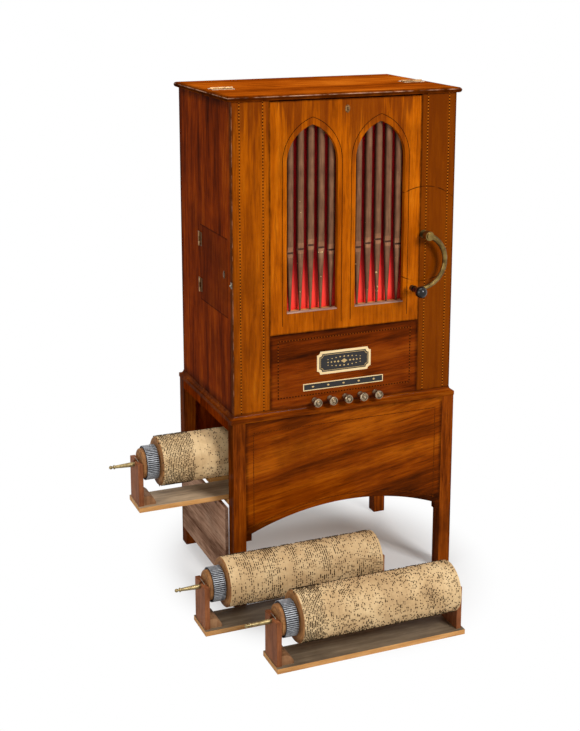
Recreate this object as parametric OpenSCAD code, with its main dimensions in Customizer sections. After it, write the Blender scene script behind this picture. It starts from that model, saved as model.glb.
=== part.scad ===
// Barrel organ on a stand: hand crank, worm, pinned barrel, keys, bellows and pipes.
// Millimetres. Origin on the floor under the middle of the stand, +Z up, front towards -Y.

/* [Case] */
// Height of the whole organ, floor to lid
total_h = 1450; // [1380:1:1560]
// Width of the case
case_w = 674; // [664:1:720]
// Depth of the case
case_d = 452; // [444:1:500]
// Thickness of the case boards
board = 18; // [14:0.5:19]
// Gap around doors and panels that open
fit_gap = 0.5; // [0.4:0.1:1]
// Width of each front stile
stile_w = 108; // [100:1:112]

/* [Lid] */
// Thickness of the lid
lid_t = 15; // [12:0.5:20]
// Overhang of the lid at the sides
lid_over_side = 13; // [6:0.5:20]
// Overhang of the lid at the front and back
lid_over_front = 8.5; // [4:0.5:16]
// Place of the split between the two halves of the lid
lid_split_y = -30; // [-60:1:0]

/* [Stand] */
// Reach of the stand past the case at each side
stand_side = 9; // [7:0.5:20]
// Reach of the stand past the case at the front and back
stand_front = 14; // [11:0.5:24]
// Height of the stand to the top of its rails
stand_h = 545; // [540:1:575]
// Side of the square legs
leg = 38; // [30:1:44]
// Thickness of the stand panels
panel_t = 20; // [14:0.5:24]
// Height of the moulding between stand and case
moulding_h = 23; // [18:0.5:26]
// Reach of the moulding past the stand
moulding_out = 3; // [2:0.5:6]
// Height of the crown of the front apron's arch
apron_crown = 272; // [258:1:280]
// Radius of the front apron's arch
apron_arc_r = 780; // [700:10:1200]
// Drop of the apron's square shoulders below the arch ends
apron_shoulder = 14; // [6:1:24]
// Top of the shelf that the spare barrels stand on
shelf_top = 300; // [296:1:306]
// Thickness of the shelf
shelf_t = 16; // [12:0.5:20]
// Height of the rail over the storage opening
top_rail_h = 28; // [20:1:34]

/* [Storage flap] */
// Height of the fall flap
flap_h = 221; // [190:1:222]
// Thickness of the fall flap
flap_t = 10; // [8:0.5:10]

/* [Front] */
// Height of the name panel above the moulding
name_panel_h = 216; // [200:1:240]
// Thickness of the front panel
front_t = 14; // [10:0.5:16]
// Width of each pointed opening
arch_w = 152; // [130:1:160]
// Distance between the middles of the pointed openings
arch_pitch = 206; // [190:1:214]
// Height of the sill of the openings above the bottom of the front panel
arch_sill = 58; // [40:1:80]
// Height of the front panel above the points of the openings
arch_head = 65; // [50:1:90]
// Rise of the pointed head
arch_rise = 104; // [90:1:110]
// Radius of a dummy pipe
dummy_r = 10; // [8:0.5:12]
// Distance between dummy pipes
dummy_pitch = 28; // [26:0.5:30]

/* [Side door] */
// Width of the barrel door
door_w = 234; // [220:1:240]
// Height of the barrel door
door_h = 224; // [215:1:240]
// Distance of the barrel door from the front of the case
door_in = 39; // [36:1:44]
// Bottom of the barrel door above the floor
door_z = 836; // [826:1:842]

/* [Crank] */
// Distance of the crank shaft from the inner edge of the right stile
crank_in = 12; // [11.5:0.5:16]
// Height of the crank shaft
crank_z = 1037; // [1030:0.5:1044]
// Radius of the crank shaft
shaft_r = 7; // [6:0.25:8]
// Throw of the crank, shaft to grip
crank_throw = 156; // [130:0.1:170]
// Angle of the crank from straight down, towards the left
crank_lean = 17; // [0:1:40]
// Radius of the bowed arm at the hub
bow_r = 8.4; // [7:0.1:9]
// Radius of the bowed arm at the grip
bow_end_r = 5; // [4:0.1:6]
// Distance of the arm in front of the case
arm_out = 30; // [28:1:60]
// Radius of the grip ball
grip_r = 17; // [14:0.5:20]
// Throw of the bellows crank at the back of the shaft
pump_throw = 14; // [8:0.5:16]
// Radial clearance of running fits
run_gap = 0.05; // [0.02:0.01:0.1]

/* [Stops] */
// Number of stop knobs
stop_n = 5; // [5:1:5]
// Distance between stop knobs
stop_pitch = 47.5; // [40:0.5:60]
// Radius of a stop knob
stop_r = 12.5; // [10:0.5:13]
// Radius of a stop rod
stop_rod_r = 4; // [3:0.25:5]
// Height of the stop knobs above the moulding
stop_up = 14; // [12:0.5:18]

/* [Barrel] */
// Radius of a barrel
barrel_r = 69; // [60:0.5:70]
// Length of the pinned part of a barrel
barrel_len = 461; // [440:1:464]
// Number of teeth of the barrel wheel
teeth = 54; // [50:1:56]
// Outer radius of the barrel wheel
wheel_r = 48; // [46:0.5:50]
// Depth of the teeth
tooth_h = 4; // [3:0.25:4.5]
// Width of the toothed ring
wheel_w = 34; // [28:1:36]
// Radius of the barrel spindle
spindle_r = 6; // [5:0.25:7]
// Length of the cradle board
cradle_len = 551; // [549:1:560]
// Width of the cradle board
cradle_w = 103; // [90:1:120]
// Thickness of the cradle board
cradle_t = 14; // [10:0.5:18]
// Height of the barrel axis over the bottom of the cradle
axis_up = 125; // [122:0.5:132]
// Width of the cradle posts
post_w = 83; // [70:1:90]
// Thickness of the cradle posts
post_t = 14; // [10:0.5:14]

/* [Works] */
// Number of keys
key_n = 20; // [14:1:20]
// Distance between keys
key_pitch = 22; // [18:0.5:22]
// Room over the longest sounding pipe
pipe_room = 69; // [40:1:160]
// Thickness of the bellows boards
bellows_t = 12; // [8:0.5:14]

/* [Hinges] */
// Radius of a hinge knuckle
knuckle_r = 3; // [2.5:0.25:3.5]
// Radius of a hinge pin
hinge_pin_r = 1.5; // [1:0.1:1.8]
// Thickness of a hinge leaf
leaf_t = 1.2; // [1:0.1:1.6]

/* [Hidden] */
$fn = 64;
// Overshoot that makes a cut go right through
over = 1;
// Least gap between pieces that move past each other
rest_gap = 0.3;
// Glue line between boards of one frame
glue = 0.02;

case_x = case_w / 2;
case_y = case_d / 2;
in_x = case_x - board;
in_y = case_y - board;
stand_x = case_x + stand_side;
stand_y = case_y + stand_front;
base_z = stand_h + moulding_h;
lid_z = total_h - lid_t;
lid_x = case_x + lid_over_side;
lid_y = case_y + lid_over_front;

// The front panel closes the space between the stiles
stile_x = case_x - stile_w;
front_z = base_z + name_panel_h + 1;
front_top = lid_z - 4;
sill_z = front_z + arch_sill;
arch_straight = front_top - arch_head - arch_rise - sill_z;
arch_r = (arch_rise * arch_rise + arch_w * arch_w / 4) / arch_w;
front_back = -case_y + front_t;
dummy_n = 5;
dummy_y = front_back + dummy_r + rest_gap;
rail_d = 22;
rail_h = 14;
rail_over = 26;
rail_top_z = front_top - arch_head + rail_over;
silk_t = 1;

// Barrel unit, measured along its axis from the wheel end of the cradle
post_s = 2;
boss_s = post_s + post_t + 1;
boss_r = wheel_r - tooth_h - 2.5;
wheel_s = boss_s + 11;
barrel_s = wheel_s + wheel_w + 4;
far_post_s = barrel_s + barrel_len + 3;
pin_reach = 70;
pitch_r = wheel_r - tooth_h / 4;
post_h = axis_up + 11;

// Worm over the wheel of the playing barrel
worm_core_r = 9.5;
worm_r = worm_core_r + tooth_h - 0.5;
lead = 2 * PI * pitch_r / teeth;
mesh_dist = wheel_r + worm_core_r + 0.5;
door_y = -case_y + door_in + door_w / 2;
play_y = door_y;
play_z = crank_z - mesh_dist - axis_up;
crank_x = stile_x + crank_in;
play_x = crank_x + wheel_s + wheel_w / 2;

// Storage opening, flap and spare barrels
flap_axis_x = -stand_x - 1;
flap_axis_z = shelf_top - flap_t - 1;
flap_w = 2 * (stand_y - leg - 3);
shelf_left = -stand_x + flap_t - 1;
drawn_out = 251;
drawn_in = 122;
drawn_at = [-stand_x - drawn_out, -stand_y + drawn_in, shelf_top + rest_gap];
middle_left = 129;
middle_gap = 7;
middle_at = [-stand_x - middle_left, -stand_y - barrel_r - middle_gap, 0];
near_left = 20;
near_step = 253.5;
near_at = [-stand_x - near_left, middle_at[1] - near_step, 0];

// Crank parts
arm_y = -case_y - arm_out;
grip_at = [crank_x - crank_throw * sin(crank_lean), crank_z - crank_throw * cos(crank_lean)];
grip_pin_r = 4;
bush_r = shaft_r + 3;
hub_l = 22;
bracket_back = 124;
bracket_y = in_y - bracket_back;
bracket_half = 17;
web_y = bracket_y + 22;
pump_pin_r = 5;
rod_y = web_y + 20;
rod_t = 12;

// Keys and wind
key_x0 = play_x - barrel_s - (barrel_len - (key_n - 1) * key_pitch) / 2 - (key_n - 1) * key_pitch;
barrel_top = play_z + axis_up + barrel_r;
key_z = barrel_top + 5;
key_h = 12;
key_w = 6;
key_reach = 100;
key_pivot = [play_y + key_reach, key_z + key_h / 2];
key_pivot_r = 2;
key_front = play_y - 8;
key_tail = 96;
key_back = in_y - key_tail;
key_rail_h = 22;
sticker_y = key_back - 8;
chest_z = door_z - 36;
chest_h = 62;
chest_y = sticker_y - 12;
chest_right = crank_x - pump_throw - 15;
bellows_up = 82;
bellows_z = base_z + bellows_up;
bellows_left = 29;
bellows_right = 51;
bellows_front = 43;
bellows_back = 10;
bellows_x0 = -in_x + bellows_left;
bellows_x1 = crank_x - bellows_right;
bellows_y0 = -in_y + bellows_front;
bellows_y1 = in_y - bellows_back;
trunk_room = 70;
feeder_in = 26;
feeder_x = bellows_x0 + feeder_in;
feeder_z = bellows_z - 6;
feeder_drop = 6.5;
feeder_end = 60;
feeder_l = bellows_x1 - bellows_x0 - feeder_end;
feeder_rim = 37;
feeder_half = -bellows_y0 - feeder_rim;
pipe_foot_h = 24;
pipe_h = lid_z - pipe_room - pipe_foot_h - chest_z - chest_h;

// Shared shapes

// Box between two corners
module block(lo, hi) {
  translate(lo) cube(hi - lo);
}

// Cylinder along Y from y0 to y1
module rod_y_dir(x, z, r, y0, y1) {
  translate([x, y0, z]) rotate([-90, 0, 0]) cylinder(r = r, h = y1 - y0);
}

// Cylinder along X from x0 to x1
module rod_x_dir(y, z, r, x0, x1) {
  translate([x0, y, z]) rotate([0, 90, 0]) cylinder(r = r, h = x1 - x0);
}

// Mitred body: one profile runs along X, the same one along Y, each drawn for its $half width
module mitred(half_x, half_y) {
  run = 2 * (half_x + half_y);
  intersection() {
    translate([-run / 2, 0, 0]) rotate([90, 0, 90]) linear_extrude(run) let ($half = half_y) children();
    translate([0, run / 2, 0]) rotate([90, 0, 0]) linear_extrude(run) let ($half = half_x) children();
  }
}

// One butt hinge: pin along Z, fixed leaf towards +X, faces the way of +Y
module hinge_half(len, leaf_w, moving) {
  third = len / 3;
  slit = 0.4;
  side = moving ? -1 : 1;
  start = knuckle_r + slit;
  spans = moving ? [[third, 2 * third]] : [[0, third - slit], [2 * third + slit, len]];
  translate([side > 0 ? start : -leaf_w, 0, 0]) cube([leaf_w - start, leaf_t, len]);
  for (span = spans) {
    translate([side > 0 ? 0 : -start, 0, span[0]]) cube([start, leaf_t, span[1] - span[0]]);
    translate([0, knuckle_r, span[0]]) cylinder(r = knuckle_r, h = span[1] - span[0]);
  }
}

// A hinge leaf: the moving one is bored for the pin that the fixed one holds
module hinge_leaf(len, leaf_w, moving) {
  bore = hinge_pin_r + run_gap;
  if (moving) difference() {
    hinge_half(len, leaf_w, moving);
    translate([0, knuckle_r, -over]) cylinder(r = bore, h = len + 2 * over);
  } else {
    hinge_half(len, leaf_w, moving);
    translate([0, knuckle_r, 0]) cylinder(r = hinge_pin_r, h = len);
  }
}

// Stand

module stand_legs() {
  color("saddlebrown")
  for (sx = [-1, 1], sy = [-1, 1])
    translate([sx * (stand_x - leg / 2) - leg / 2, sy * (stand_y - leg / 2) - leg / 2, 0])
      cube([leg, leg, stand_h]);
}

module front_apron() {
  in = stand_x - leg;
  arc_end = apron_crown - apron_arc_r + sqrt(apron_arc_r * apron_arc_r - in * in);
  low = arc_end - apron_shoulder;
  shoulder_w = 16;
  color("peru")
  difference() {
    block([-in, -stand_y, low], [in, -stand_y + panel_t, stand_h]);
    intersection() {
      rod_y_dir(0, apron_crown - apron_arc_r, apron_arc_r, -stand_y - over, -stand_y + panel_t + over);
      block([-in + shoulder_w, -stand_y - over, low - over],
            [in - shoulder_w, -stand_y + panel_t + over, stand_h]);
    }
  }
}

// Back and right panels, and the rail over the storage opening
module stand_panels() {
  in_leg_x = stand_x - leg;
  in_leg_y = stand_y - leg;
  low = shelf_top - shelf_t;
  color("saddlebrown") {
    block([-in_leg_x, stand_y - panel_t, low], [in_leg_x, stand_y, stand_h]);
    block([stand_x - panel_t, -in_leg_y, low], [stand_x, in_leg_y, stand_h]);
    block([-stand_x, -in_leg_y, stand_h - top_rail_h], [-stand_x + panel_t, in_leg_y, stand_h]);
  }
}

module barrel_shelf() {
  low = shelf_top - shelf_t;
  color("burlywood") {
    difference() {
      block([shelf_left, -stand_y + panel_t, low], [stand_x - panel_t, stand_y - panel_t, shelf_top]);
      for (sx = [-1, 1], sy = [-1, 1])
        translate([sx * stand_x, sy * stand_y, (low + shelf_top) / 2])
          cube([2 * leg, 2 * leg, shelf_t + 2 * over], center = true);
    }
  }
}

// Nosing below, cove above, on both sides of the case's width
module moulding_profile() {
  out = stand_x + moulding_out - case_x;
  nose_r = 5;
  cove_r = moulding_h - 2 * nose_r - 2;
  difference() {
    union() {
      for (side = [-1, 1]) translate([side * ($half + out - nose_r), nose_r]) circle(r = nose_r);
      translate([-$half - out + nose_r, 0]) square([2 * ($half + out - nose_r), 2 * nose_r]);
      translate([-$half - cove_r - 1, 0]) square([2 * ($half + cove_r + 1), moulding_h]);
    }
    for (side = [-1, 1]) translate([side * ($half + cove_r + 1), moulding_h]) circle(r = cove_r);
  }
}

module base_moulding() {
  color("sienna")
  translate([0, 0, stand_h])
  difference() {
    mitred(case_x, case_y) moulding_profile();
    translate([-in_x, -in_y, -over]) cube([2 * in_x, 2 * in_y, moulding_h + 2 * over]);
  }
}

module case_floor() {
  color("burlywood")
  block([-in_x, -in_y, stand_h], [in_x, in_y, base_z]);
}

// Case

module left_side() {
  color("saddlebrown")
  difference() {
    block([-case_x, -in_y, base_z], [-in_x, case_y, lid_z]);
    block([-case_x - over, door_y - door_w / 2, door_z], [-in_x + over, door_y + door_w / 2, door_z + door_h]);
  }
}

module right_side() {
  pin_hole_r = spindle_r + 5;
  color("saddlebrown")
  difference() {
    block([in_x, -in_y, base_z], [case_x, case_y, lid_z]);
    rod_x_dir(play_y, play_z + axis_up, pin_hole_r, in_x - over, case_x + over);
  }
}

module back_panel() {
  color("saddlebrown")
  block([-in_x, in_y, base_z], [in_x, case_y, lid_z]);
}

// Two stiles and the top rail behind the front panel
module front_frame() {
  color("peru") {
    block([-case_x, -case_y, base_z], [-stile_x, -in_y, lid_z]);
    difference() {
      block([stile_x, -case_y, base_z], [case_x, -in_y, lid_z]);
      rod_y_dir(crank_x, crank_z, bush_r, -case_y - over, -in_y + over);
    }
    block([-in_x, -in_y + glue, lid_z - 24], [in_x, -in_y + board, lid_z]);
  }
}

module name_panel() {
  color("peru")
  difference() {
    block([-stile_x, -case_y, base_z], [stile_x, -in_y, base_z + name_panel_h]);
    for (i = [0 : stop_n - 1])
      rod_y_dir(stop_x(i), base_z + stop_up, stop_rod_r + run_gap, -case_y - over, -in_y + over);
  }
}

// Front panel with two pointed openings, dummy pipes and silk

module pointed_arch() {
  half = arch_w / 2;
  translate([-half, 0]) square([arch_w, arch_straight]);
  translate([0, arch_straight]) intersection() {
    translate([half - arch_r, 0]) circle(r = arch_r, $fn = 128);
    translate([arch_r - half, 0]) circle(r = arch_r, $fn = 128);
    translate([-half, -over]) square([arch_w, arch_rise + 2 * over]);
  }
}

module front_panel() {
  wide = stile_x - fit_gap;
  color("peru")
  difference() {
    block([-wide, -case_y, front_z], [wide, front_back, front_top]);
    for (side = [-1, 1])
      translate([side * arch_pitch / 2, front_back + over, sill_z])
        rotate([90, 0, 0]) linear_extrude(front_t + 2 * over) pointed_arch();
  }
}

// One dummy pipe: conical foot, mouth ring, plain body
module dummy_pipe(foot_h, tall) {
  tip_r = 3;
  lip_h = 6;
  rotate_extrude()
    polygon([[0, 0], [tip_r, 0], [dummy_r, foot_h], [dummy_r, foot_h + lip_h],
             [dummy_r - 1, foot_h + lip_h + 1], [dummy_r - 1, tall], [0, tall]]);
}

module dummy_pipes() {
  foot = 150;
  step = 9;
  middle = (dummy_n - 1) / 2;
  color("rosybrown")
  for (side = [-1, 1], i = [0 : dummy_n - 1])
    translate([side * arch_pitch / 2 + (i - middle) * dummy_pitch, dummy_y, sill_z])
      dummy_pipe(foot - step * abs(i - middle), rail_top_z - sill_z);
}

module pipe_rails() {
  half = arch_pitch / 2 + arch_w / 2 + 16;
  color("burlywood")
  for (low = [sill_z - rail_h, rail_top_z])
    block([-half, front_back, low], [half, front_back + rail_d, low + rail_h]);
}

module red_silk() {
  half = arch_pitch / 2 + arch_w / 2 + 16;
  color("crimson")
  block([-half, front_back + rail_d, sill_z - rail_h],
        [half, front_back + rail_d + silk_t, rail_top_z + rail_h]);
}

// Lid

// Lid in section: a half circle planed in even flats on both edges
module lid_profile() {
  r = lid_t / 2;
  flats = 9;
  turn = [for (k = [0 : flats]) 180 * k / flats - 90];
  right = [for (a = turn) [$half - r + r * cos(a), r + r * sin(a)]];
  left = [for (a = turn) [-$half + r - r * cos(a), r - r * sin(a)]];
  polygon(concat(right, left));
}

// Lid before it is split, cut away below to leave a gap over the case
module lid_whole(gap) {
  translate([0, 0, lid_z]) intersection() {
    mitred(lid_x, lid_y) lid_profile();
    translate([-lid_x, -lid_y, gap]) cube([2 * lid_x, 2 * lid_y, lid_t]);
  }
}

module lid_back() {
  color("chocolate")
  intersection() {
    lid_whole(0);
    block([-lid_x, lid_split_y, lid_z - over], [lid_x, lid_y, total_h + over]);
  }
}

module lid_flap() {
  color("chocolate")
  intersection() {
    lid_whole(rest_gap);
    block([-lid_x, -lid_y, lid_z - over], [lid_x, lid_split_y - fit_gap, total_h + over]);
  }
}

// Doors

module side_door() {
  color("saddlebrown")
  block([-case_x, door_y - door_w / 2 + fit_gap, door_z + fit_gap],
        [-in_x, door_y + door_w / 2 - fit_gap, door_z + door_h - fit_gap]);
}

// The fall flap hangs open, its inner face outwards
module storage_flap() {
  top = flap_axis_z - knuckle_r - rest_gap;
  back = flap_axis_x + fit_gap;
  color("dimgray")
  block([back - flap_t, -flap_w / 2, top - flap_h], [back, flap_w / 2, top]);
}

// Hinges: lid along X, barrel door along Z, storage flap along Y

module lid_hinges(moving) {
  len = 66;
  leaf_w = 24;
  inset = 22;
  for (x = [-lid_x + inset, lid_x - inset - len])
    translate([x, lid_split_y - fit_gap / 2, total_h]) rotate([90, 0, 90])
      hinge_leaf(len, leaf_w, moving);
}

module door_hinges(moving) {
  len = 40;
  leaf_w = 16;
  for (z = [door_z + 24, door_z + door_h - 24 - len])
    translate([-case_x, door_y + door_w / 2 - fit_gap / 2, z]) rotate([0, 0, 90])
      hinge_leaf(len, leaf_w, moving);
}

module flap_hinges(moving) {
  len = 45;
  inset = 60;
  leaf_w = 16;
  for (y = [-flap_w / 2 + inset, flap_w / 2 - inset - len])
    translate([flap_axis_x, y, flap_axis_z]) rotate([-90, 0, 0])
      flap_hinge_half(len, leaf_w, moving);
}

// Cranked strap hinge of the flap: pin along Z, hanging leaf towards +Y
module flap_hinge_half(len, leaf_w, moving) {
  third = len / 3;
  slit = 0.4;
  reach = shelf_left - flap_axis_x;
  spans = moving ? [[third, 2 * third]] : [[0, third - slit], [2 * third + slit, len]];
  difference() {
    for (span = spans) translate([0, 0, span[0]]) {
      cylinder(r = knuckle_r, h = span[1] - span[0]);
      if (!moving) translate([0, -leaf_t / 2, 0]) cube([reach, leaf_t, span[1] - span[0]]);
      if (moving) translate([-flap_t - leaf_t + fit_gap, 0, 0])
        cube([leaf_t, leaf_w + knuckle_r, span[1] - span[0]]);
      if (moving) translate([-flap_t - leaf_t + fit_gap, -leaf_t / 2, 0])
        cube([flap_t + leaf_t - fit_gap, leaf_t, span[1] - span[0]]);
    }
    if (moving) translate([0, 0, -over]) cylinder(r = hinge_pin_r + run_gap, h = len + 2 * over);
  }
  if (!moving) cylinder(r = hinge_pin_r, h = len);
}

module fixed_hinge_leaves() {
  color("goldenrod") {
    lid_hinges(false);
    door_hinges(false);
    flap_hinges(false);
  }
}

module lid_hinge_leaves() {
  color("goldenrod") lid_hinges(true);
}

module door_hinge_leaves() {
  color("goldenrod") door_hinges(true);
}

module flap_hinge_leaves() {
  color("goldenrod") flap_hinges(true);
}

// Crank, worm and pump drive

// Worm thread around Y, its root just outside the core, a crest at the bottom at rest
module worm_thread() {
  turns = 4;
  steps = 20;
  root_r = (worm_core_r + glue) / cos(180 / steps);
  root_half = 0.9;
  crest_half = 0.6;
  rings = turns * steps;
  section = [[root_r, -root_half], [worm_r, -crest_half], [worm_r, crest_half], [root_r, root_half]];
  points = [for (i = [0 : rings], p = section)
    let (a = 360 * (i / steps - turns / 2))
    [p[0] * sin(a), lead * a / 360 + p[1], -p[0] * cos(a)]];
  sides = [for (i = [0 : rings - 1], j = [0 : 3])
    let (a = 4 * i + j, b = 4 * i + (j + 1) % 4)
    each [[a, b + 4, b], [a, a + 4, b + 4]]];
  last = 4 * rings;
  caps = [[0, 1, 2], [0, 2, 3], [last, last + 2, last + 1], [last, last + 3, last + 2]];
  translate([crank_x, play_y, crank_z]) polyhedron(points, concat(sides, caps));
}

module crank_shaft() {
  worm_half = 28;
  web_t = 12;
  color("darkgoldenrod") {
    rod_y_dir(crank_x, crank_z, shaft_r, arm_y - hub_l / 2, web_y + web_t);
    rod_y_dir(crank_x, crank_z, worm_core_r, play_y - worm_half, play_y + worm_half);
    rod_y_dir(crank_x, crank_z, pump_throw + 10, web_y, web_y + web_t);
    rod_y_dir(crank_x, crank_z - pump_throw, pump_pin_r, web_y + web_t, rod_y + rod_t + 3);
    worm_thread();
  }
}

// Half a ring of round section that tapers from the hub at the top to the grip
module bowed_arm() {
  bow = crank_throw / 2;
  steps = 18;
  sides = 16;
  radius_at = function (i) bow_r + (bow_end_r - bow_r) * i / steps;
  points = [for (i = [0 : steps], j = [0 : sides - 1])
    let (a = 90 - 180 * i / steps, b = 360 * j / sides, r = bow + radius_at(i) * cos(b))
    [r * cos(a), r * sin(a), radius_at(i) * sin(b)]];
  walls = [for (i = [0 : steps - 1], j = [0 : sides - 1])
    let (a = i * sides + j, b = i * sides + (j + 1) % sides)
    each [[a, b + sides, b], [a, a + sides, b + sides]]];
  first = [for (j = [0 : sides - 1]) j];
  last = [for (j = [0 : sides - 1]) (steps + 1) * sides - 1 - j];
  polyhedron(points, concat(walls, [first, last]));
}

// The arm is bowed to the right
module crank_arm() {
  middle = [(crank_x + grip_at[0]) / 2, (crank_z + grip_at[1]) / 2];
  hub_r = 13;
  eye_r = 8.5;
  eye_l = 14;
  pin_l = 60;
  cap_r = 9;
  cap_l = 4;
  color("goldenrod") {
    difference() {
      union() {
        translate([middle[0], arm_y, middle[1]]) rotate([90, 0, 0]) rotate([0, 0, -crank_lean]) bowed_arm();
        rod_y_dir(crank_x, crank_z, hub_r, arm_y - hub_l / 2, arm_y + hub_l / 2);
        rod_y_dir(grip_at[0], grip_at[1], eye_r, arm_y - eye_l / 2, arm_y + eye_l / 2);
        rod_y_dir(grip_at[0], grip_at[1], grip_pin_r, arm_y - pin_l, arm_y);
      }
      rod_y_dir(crank_x, crank_z, shaft_r, arm_y - hub_l / 2 - over, arm_y + hub_l / 2 + over);
    }
    rod_y_dir(crank_x, crank_z, cap_r, arm_y - hub_l / 2 - cap_l, arm_y - hub_l / 2);
  }
}

// Turned grip: neck at the arm, ball in front, bored for its pin
module crank_grip() {
  neck_r = 8;
  start = 8;
  ball_at = 50;
  pin_end = 60;
  color("black")
  translate([grip_at[0], arm_y, grip_at[1]]) rotate([90, 0, 0])
  difference() {
    union() {
      translate([0, 0, start]) cylinder(r1 = neck_r + 2, r2 = neck_r, h = 6);
      translate([0, 0, start]) cylinder(r = neck_r, h = ball_at - start);
      translate([0, 0, ball_at]) sphere(r = grip_r);
    }
    translate([0, 0, -over]) cylinder(r = grip_pin_r + run_gap, h = pin_end + 2 * over);
  }
}

// Front bush in the stile and the bracket on the right side
module shaft_bearings() {
  flange_r = bush_r + 1.5;
  flange_t = 4;
  color("goldenrod")
  difference() {
    union() {
      rod_y_dir(crank_x, crank_z, bush_r, -case_y, -in_y);
      rod_y_dir(crank_x, crank_z, flange_r, -case_y - flange_t, -case_y);
      block([crank_x - bracket_half, bracket_y, crank_z - bracket_half],
            [in_x, bracket_y + board, crank_z + bracket_half]);
    }
    rod_y_dir(crank_x, crank_z, shaft_r + run_gap, -case_y - flange_t - over, bracket_y + board + over);
  }
}

// Rod that hangs from the pump pin down beside the feeder's arm
module connecting_rod() {
  big_r = 13;
  small_r = 9;
  pin_z = crank_z - pump_throw;
  low_z = base_z + small_r + 4;
  color("burlywood")
  difference() {
    union() {
      rod_y_dir(crank_x, pin_z, big_r, rod_y, rod_y + rod_t);
      rod_y_dir(crank_x, low_z, small_r, rod_y, rod_y + rod_t);
      block([crank_x - 6, rod_y, low_z], [crank_x + 6, rod_y + rod_t, pin_z]);
    }
    rod_y_dir(crank_x, pin_z, pump_pin_r + run_gap, rod_y - over, rod_y + rod_t + over);
  }
}

// Stops

function stop_x(i) = (i - (stop_n - 1) / 2) * stop_pitch;

// Turned knob on its rod, drawn along the rod from the panel's face outwards
module stop_knob(i) {
  neck_r = stop_rod_r + 2;
  boss = 5;
  rod_in = 56;
  color("darkgoldenrod")
  translate([stop_x(i), -case_y, base_z + stop_up]) rotate([90, 0, 0]) rotate_extrude()
    polygon([[0, -rod_in], [stop_rod_r, -rod_in], [stop_rod_r, 2], [neck_r + 3, 2], [neck_r, 9],
             [stop_r - 1.5, 20], [stop_r, 22], [stop_r, 29], [stop_r - 1.5, 31], [stop_r - 3, 31],
             [stop_r - 4.5, 28], [boss, 28], [boss, 32], [boss - 1.5, 34.5], [0, 35]]);
}

module stop_knob_1() { stop_knob(0); }
module stop_knob_2() { stop_knob(1); }
module stop_knob_3() { stop_knob(2); }
module stop_knob_4() { stop_knob(3); }
module stop_knob_5() { stop_knob(4); }

// Bellows: a fixed middle board on legs, a feeder below it and a reservoir above

module bellows_frame() {
  foot = 24;
  color("burlywood") {
    block([bellows_x0, bellows_y0, bellows_z], [bellows_x1, bellows_y1, bellows_z + bellows_t]);
    for (x = [bellows_x0, bellows_x1 - foot], y = [bellows_y0, bellows_y1 - foot])
      translate([x, y, base_z]) cube([foot, foot, bellows_z - base_z - glue]);
  }
}

// The feeder is hinged at the left and slopes down to its arm at the right
module feeder_board() {
  half = feeder_half;
  arm_l = crank_x - feeder_x + 4;
  arm_w = rod_t;
  arm_at = rod_y - arm_w - 2;
  lap = 40;
  color("tan")
  translate([feeder_x, 0, feeder_z]) rotate([0, feeder_drop, 0]) {
    translate([0, -half, -bellows_t]) cube([feeder_l, 2 * half, bellows_t]);
    translate([feeder_l - lap, arm_at, -bellows_t]) cube([arm_l - feeder_l + lap, arm_w, bellows_t]);
  }
}

// Leather wedge between the feeder and the middle board, with one inward crease
module feeder_folds() {
  half = feeder_half - 10;
  start = 14;
  end = feeder_l - 16;
  crease = 16;
  drop_at = function (s) bellows_z - feeder_z + s * sin(feeder_drop) - rest_gap;
  color("linen")
  translate([feeder_x, half, bellows_z]) rotate([90, 0, 0]) linear_extrude(2 * half)
    polygon([[start, 0], [end, 0], [end - crease, -drop_at(end) / 2], [end, -drop_at(end)],
             [start, -drop_at(start)]]);
}

module reservoir_board() {
  low = bellows_z + 2 * bellows_t + rest_gap;
  color("tan")
  block([bellows_x0, bellows_y0, low], [bellows_x1, bellows_y1 - trunk_room, low + bellows_t]);
}

// Leather of the empty reservoir, folded flat
module reservoir_folds() {
  inset = 8;
  low = bellows_z + bellows_t;
  color("linen")
  block([bellows_x0 + inset, bellows_y0 + inset, low],
        [bellows_x1 - inset, bellows_y1 - trunk_room - inset, low + bellows_t]);
}

// Wind, pipes and keys

function key_x(i) = key_x0 + i * key_pitch;

// Chest on the left side wall, fed by a trunk from the bellows
module wind_chest() {
  trunk_w = 60;
  trunk_d = 50;
  color("burlywood") {
    block([-in_x, chest_y, chest_z], [chest_right, in_y - 2, chest_z + chest_h]);
    translate([bellows_x0 + 6, bellows_y1 - trunk_d - 4, bellows_z + bellows_t])
      cube([trunk_w, trunk_d, chest_z - bellows_z - bellows_t - glue]);
  }
}

// Square wooden pipe with a foot and a mouth
module wood_pipe(tall, side) {
  foot_h = pipe_foot_h;
  foot_r = 4;
  lip = 20;
  mouth_h = 10;
  cheek = 2;
  cylinder(r = foot_r, h = foot_h);
  difference() {
    translate([-side / 2, -side / 2, foot_h]) cube([side, side, tall]);
    translate([cheek - side / 2, -side / 2 - over, foot_h + lip])
      cube([side - 2 * cheek, side / 3 + over, mouth_h]);
  }
}

// Two ranks on the chest, each pipe a semitone shorter than the last
module organ_pipes() {
  back_y = in_y - 24;
  front_y = back_y - key_pitch - 8;
  back_side = key_pitch - 4;
  front_side = key_pitch - 9;
  front_share = 0.7;
  top = chest_z + chest_h;
  color("tan")
  for (i = [0 : key_n - 1]) {
    tall = pipe_h * pow(2, -i / 12);
    translate([key_x(i), back_y, top]) wood_pipe(tall, back_side);
    translate([key_x(i), front_y, top]) wood_pipe(front_share * tall, front_side);
  }
}

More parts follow.
